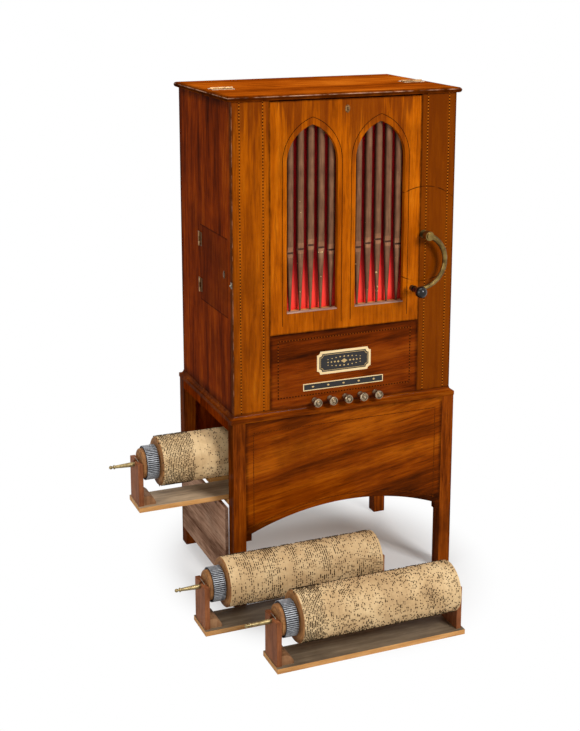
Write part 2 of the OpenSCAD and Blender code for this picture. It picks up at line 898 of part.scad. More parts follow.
// Rail across the case with two cheeks that hold the keys' pivot wire
module key_frame() {
  rail_w = 20;
  rail_low = key_z + key_h + 6;
  cheek_t = 8;
  wire_end = [key_x(0) - key_pitch, key_x(key_n - 1) + key_pitch - cheek_t];
  color("burlywood")
  difference() {
    union() {
      block([-in_x, key_pivot[0] - rail_w / 2, rail_low], [in_x, key_pivot[0] + rail_w / 2, rail_low + key_rail_h]);
      for (x = wire_end)
        block([x, key_pivot[0] - rail_w / 2, key_z - 2], [x + cheek_t, key_pivot[0] + rail_w / 2, rail_low]);
    }
    rod_x_dir(key_pivot[0], key_pivot[1], key_pivot_r + run_gap, wire_end[0] - over, wire_end[1] + cheek_t + over);
  }
}

// Keys on their pivot wire: a beak over the barrel, a tail over the sticker
module keys() {
  beak_w = 8;
  beak_h = 2.5;
  color("wheat") {
    for (i = [0 : key_n - 1]) difference() {
      union() {
        block([key_x(i) - key_w / 2, key_front, key_z], [key_x(i) + key_w / 2, key_back, key_z + key_h]);
        block([key_x(i) - key_w / 2, play_y - beak_w / 2, key_z - beak_h],
              [key_x(i) + key_w / 2, play_y + beak_w / 2, key_z]);
      }
      rod_x_dir(key_pivot[0], key_pivot[1], key_pivot_r + glue, key_x(i) - key_w, key_x(i) + key_w);
    }
    rod_x_dir(key_pivot[0], key_pivot[1], key_pivot_r, key_x(0) - key_pitch, key_x(key_n - 1) + key_pitch);
  }
}

// Thin rods from the chest up to the keys' tails, with room for the tails to dip
module stickers() {
  r = 2;
  dip = 6.5;
  color("wheat")
  for (i = [0 : key_n - 1])
    translate([key_x(i), sticker_y, chest_z + chest_h]) cylinder(r = r, h = key_z - dip - chest_z - chest_h);
}

// Two runners that carry the playing barrel's cradle
module barrel_bearers() {
  high = play_z - rest_gap;
  runner_w = 18;
  runner_h = 24;
  spread = cradle_w / 2 - runner_w / 2;
  color("burlywood")
  for (side = [-1, 1])
    block([-in_x, play_y + side * spread - runner_w / 2, high - runner_h],
          [in_x, play_y + side * spread + runner_w / 2, high]);
}

// Barrel unit: X runs from the wheel end of the cradle, Z from the bottom of its board

module cradle_post(s) {
  slot_r = spindle_r + run_gap;
  difference() {
    block([s, -post_w / 2, cradle_t + glue], [s + post_t, post_w / 2, post_h]);
    rod_x_dir(0, axis_up, slot_r, s - over, s + post_t + over);
    block([s - over, -slot_r, axis_up], [s + post_t + over, slot_r, post_h + over]);
  }
}

// Board, two slotted posts and the rounded block that stiffens the near post
module cradle() {
  block_l = 36;
  block_w = post_w - 8;
  block_h = 26;
  block_s = post_s + post_t + glue;
  color("sienna") {
    block([0, -cradle_w / 2, 0], [cradle_len, cradle_w / 2, cradle_t]);
    cradle_post(post_s);
    cradle_post(far_post_s);
    intersection() {
      block([block_s, -block_w / 2, cradle_t + glue], [block_s + block_l, block_w / 2, cradle_t + block_h]);
      union() {
        block([block_s, -block_w / 2, cradle_t], [block_s + block_l - block_h, block_w / 2, cradle_t + block_h]);
        translate([block_s + block_l - block_h, -block_w / 2, cradle_t]) rotate([-90, 0, 0])
          cylinder(r = block_h, h = block_w);
      }
    }
  }
}

// Wooden barrel with the boss that carries the toothed ring
module barrel() {
  ease = 3;
  color("burlywood")
  translate([0, 0, axis_up]) rotate([90, 0, 90]) rotate_extrude($fn = 128)
    polygon([[spindle_r, boss_s], [boss_r - ease, boss_s], [boss_r, boss_s + ease], [boss_r, barrel_s],
             [barrel_r - ease, barrel_s], [barrel_r, barrel_s + ease],
             [barrel_r, barrel_s + barrel_len], [spindle_r, barrel_s + barrel_len]]);
}

// Toothed lead ring, a gap at the top
module barrel_wheel() {
  gap_w = 0.56 * lead;
  color("slategray")
  translate([wheel_s, 0, axis_up]) rotate([90, 0, 90]) linear_extrude(wheel_w)
  difference() {
    circle(r = wheel_r, $fn = 128);
    circle(r = boss_r + glue, $fn = 128);
    for (i = [0 : teeth - 1]) rotate(90 + i * 360 / teeth)
      translate([wheel_r - tooth_h, -gap_w / 2]) square([tooth_h + over, gap_w]);
  }
}

// Brass spindle through the barrel, with a turned end that the barrel is drawn out by
module spindle() {
  ball_r = 5;
  neck_r = 3.2;
  tail = 1;
  shank = 3;
  swell = 1;
  collar_s = 54;
  collar_l = 3;
  color("goldenrod")
  translate([0, 0, axis_up]) rotate([0, 90, 0]) {
    translate([0, 0, -shank]) cylinder(r = spindle_r, h = far_post_s + post_t + tail + shank);
    translate([0, 0, -collar_s]) cylinder(r1 = neck_r + 1, r2 = spindle_r + swell, h = collar_s - shank);
    translate([0, 0, -collar_s - collar_l]) cylinder(r = spindle_r, h = collar_l);
    translate([0, 0, ball_r - pin_reach]) cylinder(r = neck_r, h = pin_reach - collar_s - ball_r);
    translate([0, 0, ball_r - pin_reach]) sphere(r = ball_r);
  }
}

// The playing unit is turned round so that its wheel lies under the worm
module at_play() {
  translate([play_x, play_y, play_z]) rotate([0, 0, 180]) children();
}

module playing_cradle() { at_play() cradle(); }
module playing_barrel() { at_play() barrel(); }
module playing_wheel() { at_play() barrel_wheel(); }
module playing_spindle() { at_play() spindle(); }
module drawn_cradle() { translate(drawn_at) cradle(); }
module drawn_barrel() { translate(drawn_at) barrel(); }
module drawn_wheel() { translate(drawn_at) barrel_wheel(); }
module drawn_spindle() { translate(drawn_at) spindle(); }
module middle_cradle() { translate(middle_at) cradle(); }
module middle_barrel() { translate(middle_at) barrel(); }
module middle_wheel() { translate(middle_at) barrel_wheel(); }
module middle_spindle() { translate(middle_at) spindle(); }
module near_cradle() { translate(near_at) cradle(); }
module near_barrel() { translate(near_at) barrel(); }
module near_wheel() { translate(near_at) barrel_wheel(); }
module near_spindle() { translate(near_at) spindle(); }

stand_legs();
front_apron();
stand_panels();
barrel_shelf();
base_moulding();
case_floor();
left_side();
right_side();
back_panel();
front_frame();
name_panel();
front_panel();
dummy_pipes();
pipe_rails();
red_silk();
lid_back();
lid_flap();
side_door();
storage_flap();
fixed_hinge_leaves();
lid_hinge_leaves();
door_hinge_leaves();
flap_hinge_leaves();
crank_shaft();
crank_arm();
crank_grip();
shaft_bearings();
connecting_rod();
stop_knob_1();
stop_knob_2();
stop_knob_3();
stop_knob_4();
stop_knob_5();
bellows_frame();
feeder_board();
feeder_folds();
reservoir_board();
reservoir_folds();
wind_chest();
organ_pipes();
key_frame();
keys();
stickers();
barrel_bearers();
playing_cradle();
playing_barrel();
playing_wheel();
playing_spindle();
drawn_cradle();
drawn_barrel();
drawn_wheel();
drawn_spindle();
middle_cradle();
middle_barrel();
middle_wheel();
middle_spindle();
near_cradle();
near_barrel();
near_wheel();
near_spindle();
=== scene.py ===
"""The looks of a barrel organ on its stand: woods, inlay, silk, pinned barrels, brass and light."""
import math

import bmesh
import bpy
from mathutils import Matrix, Vector


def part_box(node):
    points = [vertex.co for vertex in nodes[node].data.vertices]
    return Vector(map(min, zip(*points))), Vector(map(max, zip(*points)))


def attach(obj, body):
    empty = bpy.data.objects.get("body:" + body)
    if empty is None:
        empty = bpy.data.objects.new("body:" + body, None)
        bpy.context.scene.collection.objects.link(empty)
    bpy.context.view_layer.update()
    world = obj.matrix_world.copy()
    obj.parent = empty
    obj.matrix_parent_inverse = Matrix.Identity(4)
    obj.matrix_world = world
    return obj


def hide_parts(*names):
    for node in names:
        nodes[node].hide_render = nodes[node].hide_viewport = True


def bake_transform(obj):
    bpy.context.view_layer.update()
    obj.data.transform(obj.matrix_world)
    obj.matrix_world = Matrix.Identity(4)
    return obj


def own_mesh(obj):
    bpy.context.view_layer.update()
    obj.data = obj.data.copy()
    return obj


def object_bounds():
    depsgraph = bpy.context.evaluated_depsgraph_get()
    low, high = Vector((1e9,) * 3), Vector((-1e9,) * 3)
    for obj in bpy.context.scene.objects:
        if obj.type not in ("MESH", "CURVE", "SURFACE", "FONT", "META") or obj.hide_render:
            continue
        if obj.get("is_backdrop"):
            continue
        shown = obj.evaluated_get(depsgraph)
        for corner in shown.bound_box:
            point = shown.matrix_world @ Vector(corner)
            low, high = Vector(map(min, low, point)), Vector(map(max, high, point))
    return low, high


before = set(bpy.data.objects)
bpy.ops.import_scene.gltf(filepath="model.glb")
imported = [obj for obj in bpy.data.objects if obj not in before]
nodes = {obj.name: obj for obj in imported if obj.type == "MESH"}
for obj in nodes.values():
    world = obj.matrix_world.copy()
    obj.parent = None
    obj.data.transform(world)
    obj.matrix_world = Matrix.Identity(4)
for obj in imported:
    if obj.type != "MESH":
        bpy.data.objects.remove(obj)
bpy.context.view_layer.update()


# Graphs: one class for a socket in arithmetic, one for a tree of nodes

class Value:
    """A socket that takes part in plain arithmetic."""

    def __init__(self, graph, socket):
        self.graph = graph
        self.socket = socket

    def __add__(self, other):
        return self.graph.maths("ADD", self, other)

    def __sub__(self, other):
        return self.graph.maths("SUBTRACT", self, other)

    def __rsub__(self, other):
        return self.graph.maths("SUBTRACT", other, self)

    def __mul__(self, other):
        return self.graph.maths("MULTIPLY", self, other)

    def __truediv__(self, other):
        return self.graph.maths("DIVIDE", self, other)

    def __gt__(self, other):
        return self.graph.maths("GREATER_THAN", self, other)

    def __lt__(self, other):
        return self.graph.maths("LESS_THAN", self, other)

    def __abs__(self):
        return self.graph.maths("ABSOLUTE", self)

    __radd__ = __add__
    __rmul__ = __mul__


class Graph:
    """A node tree, filled through one method."""

    def __init__(self, tree):
        self.tree = tree

    def node(self, kind, settings=None, inputs=None, output=0):
        made = self.tree.nodes.new(kind)
        for key, value in (settings or {}).items():
            if key == "stops":
                while len(made.color_ramp.elements) < len(value):
                    made.color_ramp.elements.new(0.5)
                for element, (place, tone) in zip(made.color_ramp.elements, value):
                    element.position = place
                    element.color = (*tone, 1.0)
            else:
                setattr(made, key, value)
        for key, value in (inputs or {}).items():
            self.feed(made.inputs[key], value)
        return Value(self, made.outputs[output])

    def feed(self, socket, value):
        if isinstance(value, Value):
            self.tree.links.new(value.socket, socket)
        else:
            socket.default_value = value

    def maths(self, operation, first, second=0.0):
        return self.node("ShaderNodeMath", {"operation": operation}, {0: first, 1: second})

    def step(self, value, low, high, start=0.0, end=1.0):
        """Goes smoothly from start to end while the value goes from low to high."""
        return self.node("ShaderNodeMapRange", {"interpolation_type": "SMOOTHSTEP"},
                         {0: value, 1: low, 2: high, 3: start, 4: end})

    def split(self, vector):
        made = self.node("ShaderNodeSeparateXYZ", {}, {0: vector}).socket.node
        return [Value(self, socket) for socket in made.outputs]

    def join(self, x, y, z):
        return self.node("ShaderNodeCombineXYZ", {}, {0: x, 1: y, 2: z})


class Finish(Graph):
    """One procedural material."""

    def __init__(self, name, **constants):
        self.material = bpy.data.materials.new(name)
        self.material.use_nodes = True
        super().__init__(self.material.node_tree)
        self.shader = self.tree.nodes["Principled BSDF"]
        for key, value in constants.items():
            self.shader.inputs[key.replace("_", " ")].default_value = value

    def put(self, socket, value):
        self.feed(self.shader.inputs[socket], value)

    def place(self, output="Object"):
        return self.node("ShaderNodeTexCoord", {}, {}, output)

    def normal(self):
        return self.split(self.place("Normal"))

    def scaled(self, vector, scale, shift=(0.0, 0.0, 0.0)):
        return self.node("ShaderNodeMapping", {}, {"Vector": vector, "Scale": scale, "Location": shift})

    def noise(self, vector, scale, detail=2.0, rough=0.5, warp=0.0):
        return self.node("ShaderNodeTexNoise", {},
                         {"Vector": vector, "Scale": scale, "Detail": detail,
                          "Roughness": rough, "Distortion": warp})

    def ramp(self, value, stops):
        return self.node("ShaderNodeValToRGB", {"stops": stops}, {0: value})

    def three_tones(self, value, dark, middle, light):
        return self.ramp(value, [(0.3, dark), (0.5, middle), (0.7, light)])

    def mix(self, amount, first, second):
        """From the first colour to the second. A colour is a socket or three numbers."""
        def tone(colour):
            return colour if isinstance(colour, Value) else (*colour, 1.0)
        return self.node("ShaderNodeMix", {"data_type": "RGBA"},
                         {0: amount, 6: tone(first), 7: tone(second)}, 2)

    def done(self, colour, roughness, height=None, strength=0.0, distance=0.0):
        """The finished material, with bumps where a height is given."""
        self.put("Base Color", colour)
        self.put("Roughness", roughness)
        if height is not None:
            sockets = {"Strength": strength, "Distance": distance, "Height": height}
            self.put("Normal", self.node("ShaderNodeBump", {}, sockets))
        return self.material


def srgb(red, green, blue):
    """An 8-bit display colour as the linear colour that the shader takes."""
    def linear(channel):
        share = channel / 255
        return share / 12.92 if share <= 0.04045 else ((share + 0.055) / 1.055) ** 2.4
    return (linear(red), linear(green), linear(blue))


def shaded(tone, share):
    """A tone, lighter or darker by one share."""
    return tuple(share * part for part in tone)


def toned(tones, share):
    """A set of tones, lighter or darker by one share."""
    return tuple(shaded(tone, share) for tone in tones)


# Woods

ALONG = {"x": (0.07, 1.0, 1.0), "y": (1.0, 0.07, 1.0), "z": (1.0, 1.0, 0.07)}


def rim_shade(finish, point, spans, reach):
    """1 in the middle of a board and 0 at its edges. spans holds (axis, low, high) in metres."""
    x, y, z = finish.split(point)
    coordinate = {"x": x, "y": y, "z": z, "|x|": abs(x)}
    shade = None
    for axis, low, high in spans:
        from_low = finish.step(coordinate[axis] - low, 0.0, reach)
        one = from_low * finish.step(high - coordinate[axis], 0.0, reach)
        shade = one if shade is None else shade * one
    return shade


FRONT_FACE = -0.226
CRANK_AT = (0.241, 1.037)
MARK_R = 0.137
CASE = 0.337


def worn_circle(finish, point):
    """1 on the thin broken circle that the crank has scratched into the front."""
    x, _, z = finish.split(point)
    across = x - CRANK_AT[0]
    up = z - CRANK_AT[1]
    away = finish.maths("SQRT", across * across + up * up) - MARK_R
    broken = finish.step(finish.noise(point, 26.0, 3.0, 0.6), 0.40, 0.56)
    return (1.0 - finish.step(abs(away), 0.0006, 0.0021)) * broken


# Heights over which the painted shadow of the lid comes in, and its colour.
LID_SHADOW_Z = (1.33, 1.47)
LID_SHADE = srgb(88, 31, 4)
DARKER_RIGHT_FROM = (-0.05, 0.10)
# Pale tones for the corner line and the lid edge line: rubbed wear and painted highlight.
RUBBED_AND_LIT_CORNER = srgb(206, 150, 120)
RUBBED_AND_LIT_EDGE = srgb(214, 168, 140)


def wood(name, tones, grain="z", flame=0.8, gloss=0.36, polish=0.04, spans=(), reach=0.012, shift=0.0,
         grime_and_shade=0.8, darker_right=0.0, streaks=1.0, tilt=0.0, crank_mark=False, rubbed_and_lit_corner=False,
         lid_shadow=False, shaded_uprights=0.0, rubbed_and_lit_edge_at=0.0):
    """A board: flame figure, ribbons, streaks, pores and age. tones run from dark to light.

    spans and reach give dark edges, partly soiling and dark joints, partly painted shade; darker_right a
    darker right half;
    shaded_uprights painted shade on upright faces; lid_shadow a painted shadow below the lid;
    rubbed_and_lit_corner a pale front left corner, and rubbed_and_lit_edge_at the height of a pale edge
    line, both rubbed wear and painted highlight; and tilt turns the figure by degrees.
    """
    finish = Finish(name, Specular_IOR_Level=0.0, Coat_Weight=polish, Coat_Roughness=0.14)
    point = finish.place()
    x, y, z = finish.split(point)
    turn = (0.0, math.radians(tilt), 0.0)
    laid = finish.node("ShaderNodeMapping", {}, {"Vector": point, "Rotation": turn})
    drawn = finish.scaled(laid, ALONG[grain], (shift, shift * 0.7, shift * 1.3))
    figure = finish.noise(drawn, 8.0, 2.0, 0.5, 0.9) - 0.5
    rings = finish.noise(drawn, 11.0, 1.0, 0.4, 0.3)
    lines = finish.maths("SINE", rings * 95.0)
    ribbon = finish.noise(drawn, 42.0, 3.0, 0.6) - 0.5
    streak = finish.noise(drawn, 190.0, 4.0, 0.7) - 0.5
    fine = finish.scaled(drawn, tuple(0.4 if share < 1.0 else 1.0 for share in ALONG[grain]))
    pore = finish.step(finish.noise(fine, 520.0, 2.0, 0.6), 0.58, 0.70)
    cloud = finish.noise(point, 6.0, 3.0, 0.6) - 0.5
    mottle = finish.noise(finish.scaled(drawn, (1.0, 1.0, 1.0), (3.0, 1.0, 2.0)), 75.0, 5.0, 0.7, 0.6) - 0.5
    tone = figure * flame + ribbon * (0.45 * streaks) + streak * (0.6 * streaks) + lines * 0.03
    tone = tone + cloud * 0.45 + mottle * 0.45 + 0.5
    dark, low, mid, light = tones
    colour = finish.ramp(tone, [(0.22, dark), (0.40, low), (0.55, mid), (0.80, light)])
    colour = finish.mix(pore * 0.4, colour, dark)
    fleck = finish.step(finish.noise(drawn, 130.0, 4.0, 0.75), 0.53, 0.66)
    colour = finish.mix(fleck * 0.4, colour, shaded(dark, 0.7))
    age = finish.step(finish.noise(point, 4.2, 6.0, 0.62, 0.5), 0.46, 0.76)
    colour = finish.mix(age * 0.5, colour, shaded(low, 0.5))
    # Painted shadow of the lid: the top of the front is darker in streaks towards the lid.
    if lid_shadow:
        shade = finish.step(z + cloud * 0.2 + ribbon * 1.1, *LID_SHADOW_Z)
        colour = finish.mix(shade * 0.65, colour, LID_SHADE)
    # Painted shade: faces that do not face up are darker.
    if shaded_uprights:
        upright = 1.0 - finish.step(abs(finish.normal()[2]), 0.35, 0.8)
        colour = finish.mix(upright * shaded_uprights, colour, shaded(dark, 0.5))
    # A darker tone over the right half, which falls on the right stile.
    if darker_right:
        colour = finish.mix(finish.step(x, *DARKER_RIGHT_FROM) * darker_right, colour, dark)
    # Dark edges: partly soiling and dark joints, partly painted shade where boards meet other parts.
    if spans:
        edge = rim_shade(finish, point, spans, reach)
        worn = finish.step(finish.noise(point, 38.0, 3.0, 0.6), 0.25, 0.75)
        dirt = (1.0 - edge) * (worn * 0.5 + 0.5) * grime_and_shade
        colour = finish.mix(dirt, colour, shaded(dark, 0.2))
    if crank_mark:
        scratch = worn_circle(finish, point)
        colour = finish.mix(scratch * 0.9, colour, shaded(dark, 0.25))
    # Pale line along the front left corner: rubbed wear and a painted highlight.
    if rubbed_and_lit_corner:
        bare = 1.0 - finish.step(x + CASE, 0.0004, 0.0014)
        front = 1.0 - finish.step(y - FRONT_FACE, 0.0010, 0.0030)
        rubbed = finish.step(finish.noise(point, 30.0, 4.0, 0.6), 0.40, 0.70)
        colour = finish.mix(bare * front * rubbed * 0.45, colour, RUBBED_AND_LIT_CORNER)
    # Pale line at one height along the rounded lid edge: rubbed wear and a painted highlight.
    if rubbed_and_lit_edge_at:
        line = 1.0 - finish.step(abs(z - rubbed_and_lit_edge_at), 0.0005, 0.0014)
        rubbed = finish.step(finish.noise(point, 24.0, 4.0, 0.6), 0.35, 0.65)
        colour = finish.mix(line * rubbed * 0.6, colour, RUBBED_AND_LIT_EDGE)
    return finish.done(colour, streak * 0.2 + cloud * 0.2 + gloss, streak * 0.5 - pore * 0.6, 0.10, 0.0006)


GOLDEN = (srgb(104, 44, 1), srgb(144, 67, 2), srgb(172, 85, 4), srgb(200, 112, 16))
STILE_GOLD = toned(GOLDEN, 0.82)
FLAMED = (srgb(52, 18, 1), srgb(90, 35, 1), srgb(120, 50, 2), srgb(160, 80, 8))
RUSSET = (srgb(46, 14, 1), srgb(82, 29, 1), srgb(110, 42, 3), srgb(140, 64, 8))
LEG_BROWN = (srgb(58, 20, 1), srgb(98, 40, 3), srgb(128, 57, 6), srgb(158, 80, 14))
DARK_RED = (srgb(62, 18, 0), srgb(98, 32, 1), srgb(130, 47, 2), srgb(166, 74, 6))
DOOR_RED = (srgb(51, 14, 0), srgb(83, 26, 1), srgb(109, 37, 2), srgb(137, 57, 5))
LID = (srgb(84, 32, 1), srgb(122, 50, 3), srgb(152, 68, 6), srgb(186, 98, 20))
DULL = (srgb(83, 57, 43), srgb(131, 97, 77), srgb(168, 131, 107), srgb(194, 158, 132))
PINE = (srgb(150, 98, 48), srgb(188, 134, 74), srgb(212, 160, 96), srgb(228, 184, 122))
OAK = (srgb(120, 84, 50), srgb(160, 118, 74), srgb(182, 140, 92), srgb(204, 166, 116))

STILE = 0.229
BASE = 0.568
TOP = 1.435
FRONT_BOTTOM = 0.785


def dress(material, *names):
    """Gives CAD nodes one material."""
    for name in names:
        slots = nodes[name].data.materials
        slots.clear()
        slots.append(material)


FRONT_TOP = 1.431
PANEL = 0.2285
NAME_TOP = 0.784
APRON_SPANS = [("x", -0.308, 0.308), ("z", 0.24, 0.545)]
DOOR_SPANS = [("y", -0.187, 0.047), ("z", 0.836, 1.06)]
LID_SPANS = [("x", -0.35, 0.35), ("y", -0.2345, 0.2345)]
LEG_SPAN = ("|x|", 0.306, 0.347)
LID_EDGE = 1.4455

dress(wood("stile mahogany", STILE_GOLD, "z", 0.3, spans=[("|x|", STILE, CASE), ("z", BASE, TOP)],
           reach=0.006, shift=0.4, darker_right=0.75, streaks=0.65, crank_mark=True, rubbed_and_lit_corner=True,
           lid_shadow=True), "front_frame")
dress(wood("front panel mahogany", GOLDEN, "z", 0.32,
           spans=[("x", -PANEL, PANEL), ("z", FRONT_BOTTOM, FRONT_TOP)], reach=0.005, streaks=0.65,
           crank_mark=True, lid_shadow=True), "front_panel")
dress(wood("name panel mahogany", RUSSET, "x", 0.9, spans=[("x", -STILE, STILE), ("z", BASE, NAME_TOP)],
           shift=1.7, streaks=0.7, tilt=4.0), "name_panel")
dress(wood("apron mahogany", FLAMED, "x", 1.25, spans=APRON_SPANS, shift=2.3, streaks=0.7, tilt=9.0),
      "front_apron")
dress(wood("leg mahogany", LEG_BROWN, "z", 0.6, spans=[LEG_SPAN], reach=0.005, shift=3.1, grime_and_shade=0.6),
      "stand_legs")
dress(wood("moulding mahogany", FLAMED, "x", 0.7, shift=4.2, shaded_uprights=0.25), "base_moulding")
dress(wood("side mahogany", DARK_RED, "z", 0.9, polish=0.02,
           spans=[("y", FRONT_FACE, -FRONT_FACE), ("z", BASE, TOP)], reach=0.03, shift=5.2),
      "left_side", "right_side")
dress(wood("door mahogany", DOOR_RED, "z", 0.8, polish=0.02, spans=DOOR_SPANS, reach=0.006, shift=6.4),
      "side_door")
dress(wood("back mahogany", DARK_RED, "z", 0.7, gloss=0.5, polish=0.0, shift=7.7),
      "back_panel", "stand_panels")
dress(wood("lid mahogany", LID, "x", 0.8, polish=0.0, spans=LID_SPANS, reach=0.02, shift=8.1,
           shaded_uprights=0.7, rubbed_and_lit_edge_at=LID_EDGE), "lid_back", "lid_flap")
dress(wood("flap wood", DULL, "y", 0.8, gloss=0.55, polish=0.0, shift=9.3), "storage_flap")
dress(wood("works pine", PINE, "x", 0.7, gloss=0.55, polish=0.0, shift=10.1), "barrel_shelf",
      "case_floor", "bellows_frame", "feeder_board", "reservoir_board", "wind_chest", "barrel_bearers",
      "pipe_rails")
dress(wood("works oak", OAK, "z", 0.7, gloss=0.5, polish=0.0, shift=11.9), "key_frame", "keys",
      "stickers", "connecting_rod", "organ_pipes")


# Metals

def metal(name, bright, dull, rough=0.34, tarnish=0.5, scale=40.0):
    """Old metal with brown tarnish in patches and fine rubbing marks."""
    finish = Finish(name, Metallic=1.0)
    point = finish.place()
    spread = tarnish * 0.3
    patch = finish.step(finish.noise(point, scale, 4.0, 0.65, 0.4), 0.5 - spread, 0.85 - spread)
    rubbed = finish.noise(finish.scaled(point, (1.0, 1.0, 4.0)), scale * 9.0, 3.0, 0.7)
    colour = finish.mix(patch * 0.85, bright, dull)
    return finish.done(colour, patch * 0.22 + rubbed * 0.14 + rough - 0.1, rubbed, 0.05, 0.0004)


crank_brass = metal("crank brass", srgb(134, 111, 64), srgb(70, 54, 28), 0.36, 0.6)
hinge_brass = metal("hinge brass", srgb(112, 80, 46), srgb(78, 44, 20), 0.48, 0.8)
# The lid hinges take a lighter copy of the hinge brass: rubbed brass and a painted highlight.
rubbed_and_lit_lid_brass = metal("lid hinge brass", srgb(172, 138, 98), srgb(118, 84, 52), 0.45, 0.7)
stop_brass = metal("stop brass", srgb(190, 170, 140), srgb(70, 54, 40), 0.32, 0.6, 120.0)
spindle_brass = metal("spindle brass", srgb(156, 138, 98), srgb(98, 80, 50), 0.36, 0.6, 90.0)
plate_brass = metal("plate brass", srgb(132, 98, 60), srgb(66, 42, 24), 0.42, 0.6, 120.0)
steel_wire = metal("keeper wire", srgb(150, 140, 124), srgb(86, 74, 60), 0.4)
pin_metal = metal("pin brass", srgb(88, 70, 48), srgb(42, 32, 23), 0.55, 0.8, 300.0)
dress(crank_brass, "crank_arm", "crank_shaft", "shaft_bearings")
dress(hinge_brass, "door_hinge_leaves", "flap_hinge_leaves")
dress(rubbed_and_lit_lid_brass, "fixed_hinge_leaves", "lid_hinge_leaves")
dress(stop_brass, *(f"stop_knob_{number}" for number in range(1, 6)))


def polished_black():
    """Black ball grip: deep gloss with faint brown rubbing."""
    finish = Finish("grip black", Coat_Weight=0.2, Coat_Roughness=0.06, Specular_IOR_Level=0.2)
    rubbed = finish.noise(finish.place(), 90.0, 4.0, 0.6)
    return finish.done(finish.mix(rubbed, srgb(8, 6, 6), srgb(24, 17, 14)), rubbed * 0.15 + 0.16)


dress(polished_black(), "crank_grip")


# Barrels, wheels and cradles

SETS = ("playing", "drawn", "middle", "near")


def middle_of(node):
    low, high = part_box(node)
    return (low + high) / 2


BOSS_EDGE = 0.055
LAP_AT = 0.55
RULE_PITCH = 0.011
END_FACE = 0.6
# Radii over which the painted shade of the slots gives way to lead.
SLOT_SHADE_RADII = (0.0452, 0.0482)
DISC_EDGE = (0.0418, 0.0424)


def from_axis(finish, y, z, axis):
    """Distance from a barrel's axis."""
    across = y - axis.y
    up = z - axis.z
    return finish.maths("SQRT", across * across + up * up)


def barrel_paper(name, axis, shift):
    """Aged paper over a wooden drum: stains, ruled rings, a lap joint, bare wood on the end faces."""
    finish = Finish(name, Specular_IOR_Level=0.3)
    point = finish.place()
    x, y, z = finish.split(point)
    facing = abs(finish.normal()[0])
    stain = finish.noise(finish.scaled(point, (1.0, 1.0, 1.0), (shift, 0.0, 0.0)), 11.0, 5.0, 0.62, 0.3)
    speck = finish.step(finish.noise(point, 160.0, 3.0, 0.7), 0.60, 0.72)
    fibre = finish.noise(finish.scaled(point, (0.4, 1.0, 1.0)), 500.0, 3.0, 0.6)
    line = 1.0 - finish.step(finish.maths("PINGPONG", x, RULE_PITCH), 0.0002, 0.0009)
    angle = finish.maths("ARCTAN2", y - axis.y, z - axis.z)
    lap = 1.0 - finish.step(abs(angle - LAP_AT), 0.004, 0.02)
    paper = finish.ramp(stain, [(0.25, srgb(160, 128, 88)), (0.45, srgb(190, 157, 112)),
                                (0.60, srgb(208, 177, 131)), (0.80, srgb(220, 193, 150))])
    paper = finish.mix(line * 0.22 + lap * 0.4 + speck * 0.3, paper, srgb(112, 78, 46))
    radius = from_axis(finish, y, z, axis)
    turned = finish.noise(finish.join(radius * 60.0, angle * 0.5, stain), 3.0, 3.0, 0.6)
    bare = finish.three_tones(turned, srgb(104, 64, 32), srgb(146, 98, 52), srgb(172, 122, 70))
    on_drum = (radius > BOSS_EDGE) * (facing < END_FACE)
    colour = finish.mix(on_drum, bare, paper)
    return finish.done(colour, fibre * 0.2 + 0.62, fibre * 0.4 - lap * 0.5, 0.15, 0.0005)


def wheel_lead(name, axis):
    """Grey lead ring with near-black painted shade in the slots, and a brown wooden disc in its face."""
    finish = Finish(name, Specular_IOR_Level=0.5)
    point = finish.place()
    _, y, z = finish.split(point)
    radius = from_axis(finish, y, z, axis)
    grain = finish.noise(finish.scaled(point, (1.0, 1.0, 0.2)), 60.0, 4.0, 0.6)
    wear = finish.noise(point, 120.0, 4.0, 0.65)
    lead = finish.ramp(wear, [(0.3, srgb(108, 110, 114)), (0.5, srgb(148, 150, 154)),
                              (0.75, srgb(192, 194, 196))])
    # Painted shade: near black at the bottoms of the slots.
    slot = 1.0 - finish.step(radius, *SLOT_SHADE_RADII)
    lead = finish.mix(slot, lead, srgb(26, 25, 26))
    disc = finish.three_tones(grain, srgb(88, 50, 26), srgb(124, 78, 43), srgb(150, 100, 58))
    on_face = (abs(finish.normal()[0]) > END_FACE) * (1.0 - finish.step(radius, *DISC_EDGE))
    finish.put("Metallic", (1.0 - on_face) * (1.0 - slot) * 0.3)
    return finish.done(finish.mix(on_face, lead, disc), wear * 0.25 + slot * 0.3 + 0.4, wear, 0.12, 0.0005)


BOARD_TOP = 0.0142
POST_END = 0.0162
BLOCK_END = 0.053
BLOCK_TOP = 0.0415
BOARD_GREY = (srgb(112, 92, 72), srgb(156, 134, 108), srgb(188, 164, 134))
# Painted light and shadow on each board's top: lighter on the drawn board, darker under the middle and near
# barrels.
BOARD_LIGHT_AND_SHADE = {"playing": 1.0, "drawn": 1.35, "middle": 0.5, "near": 0.5}


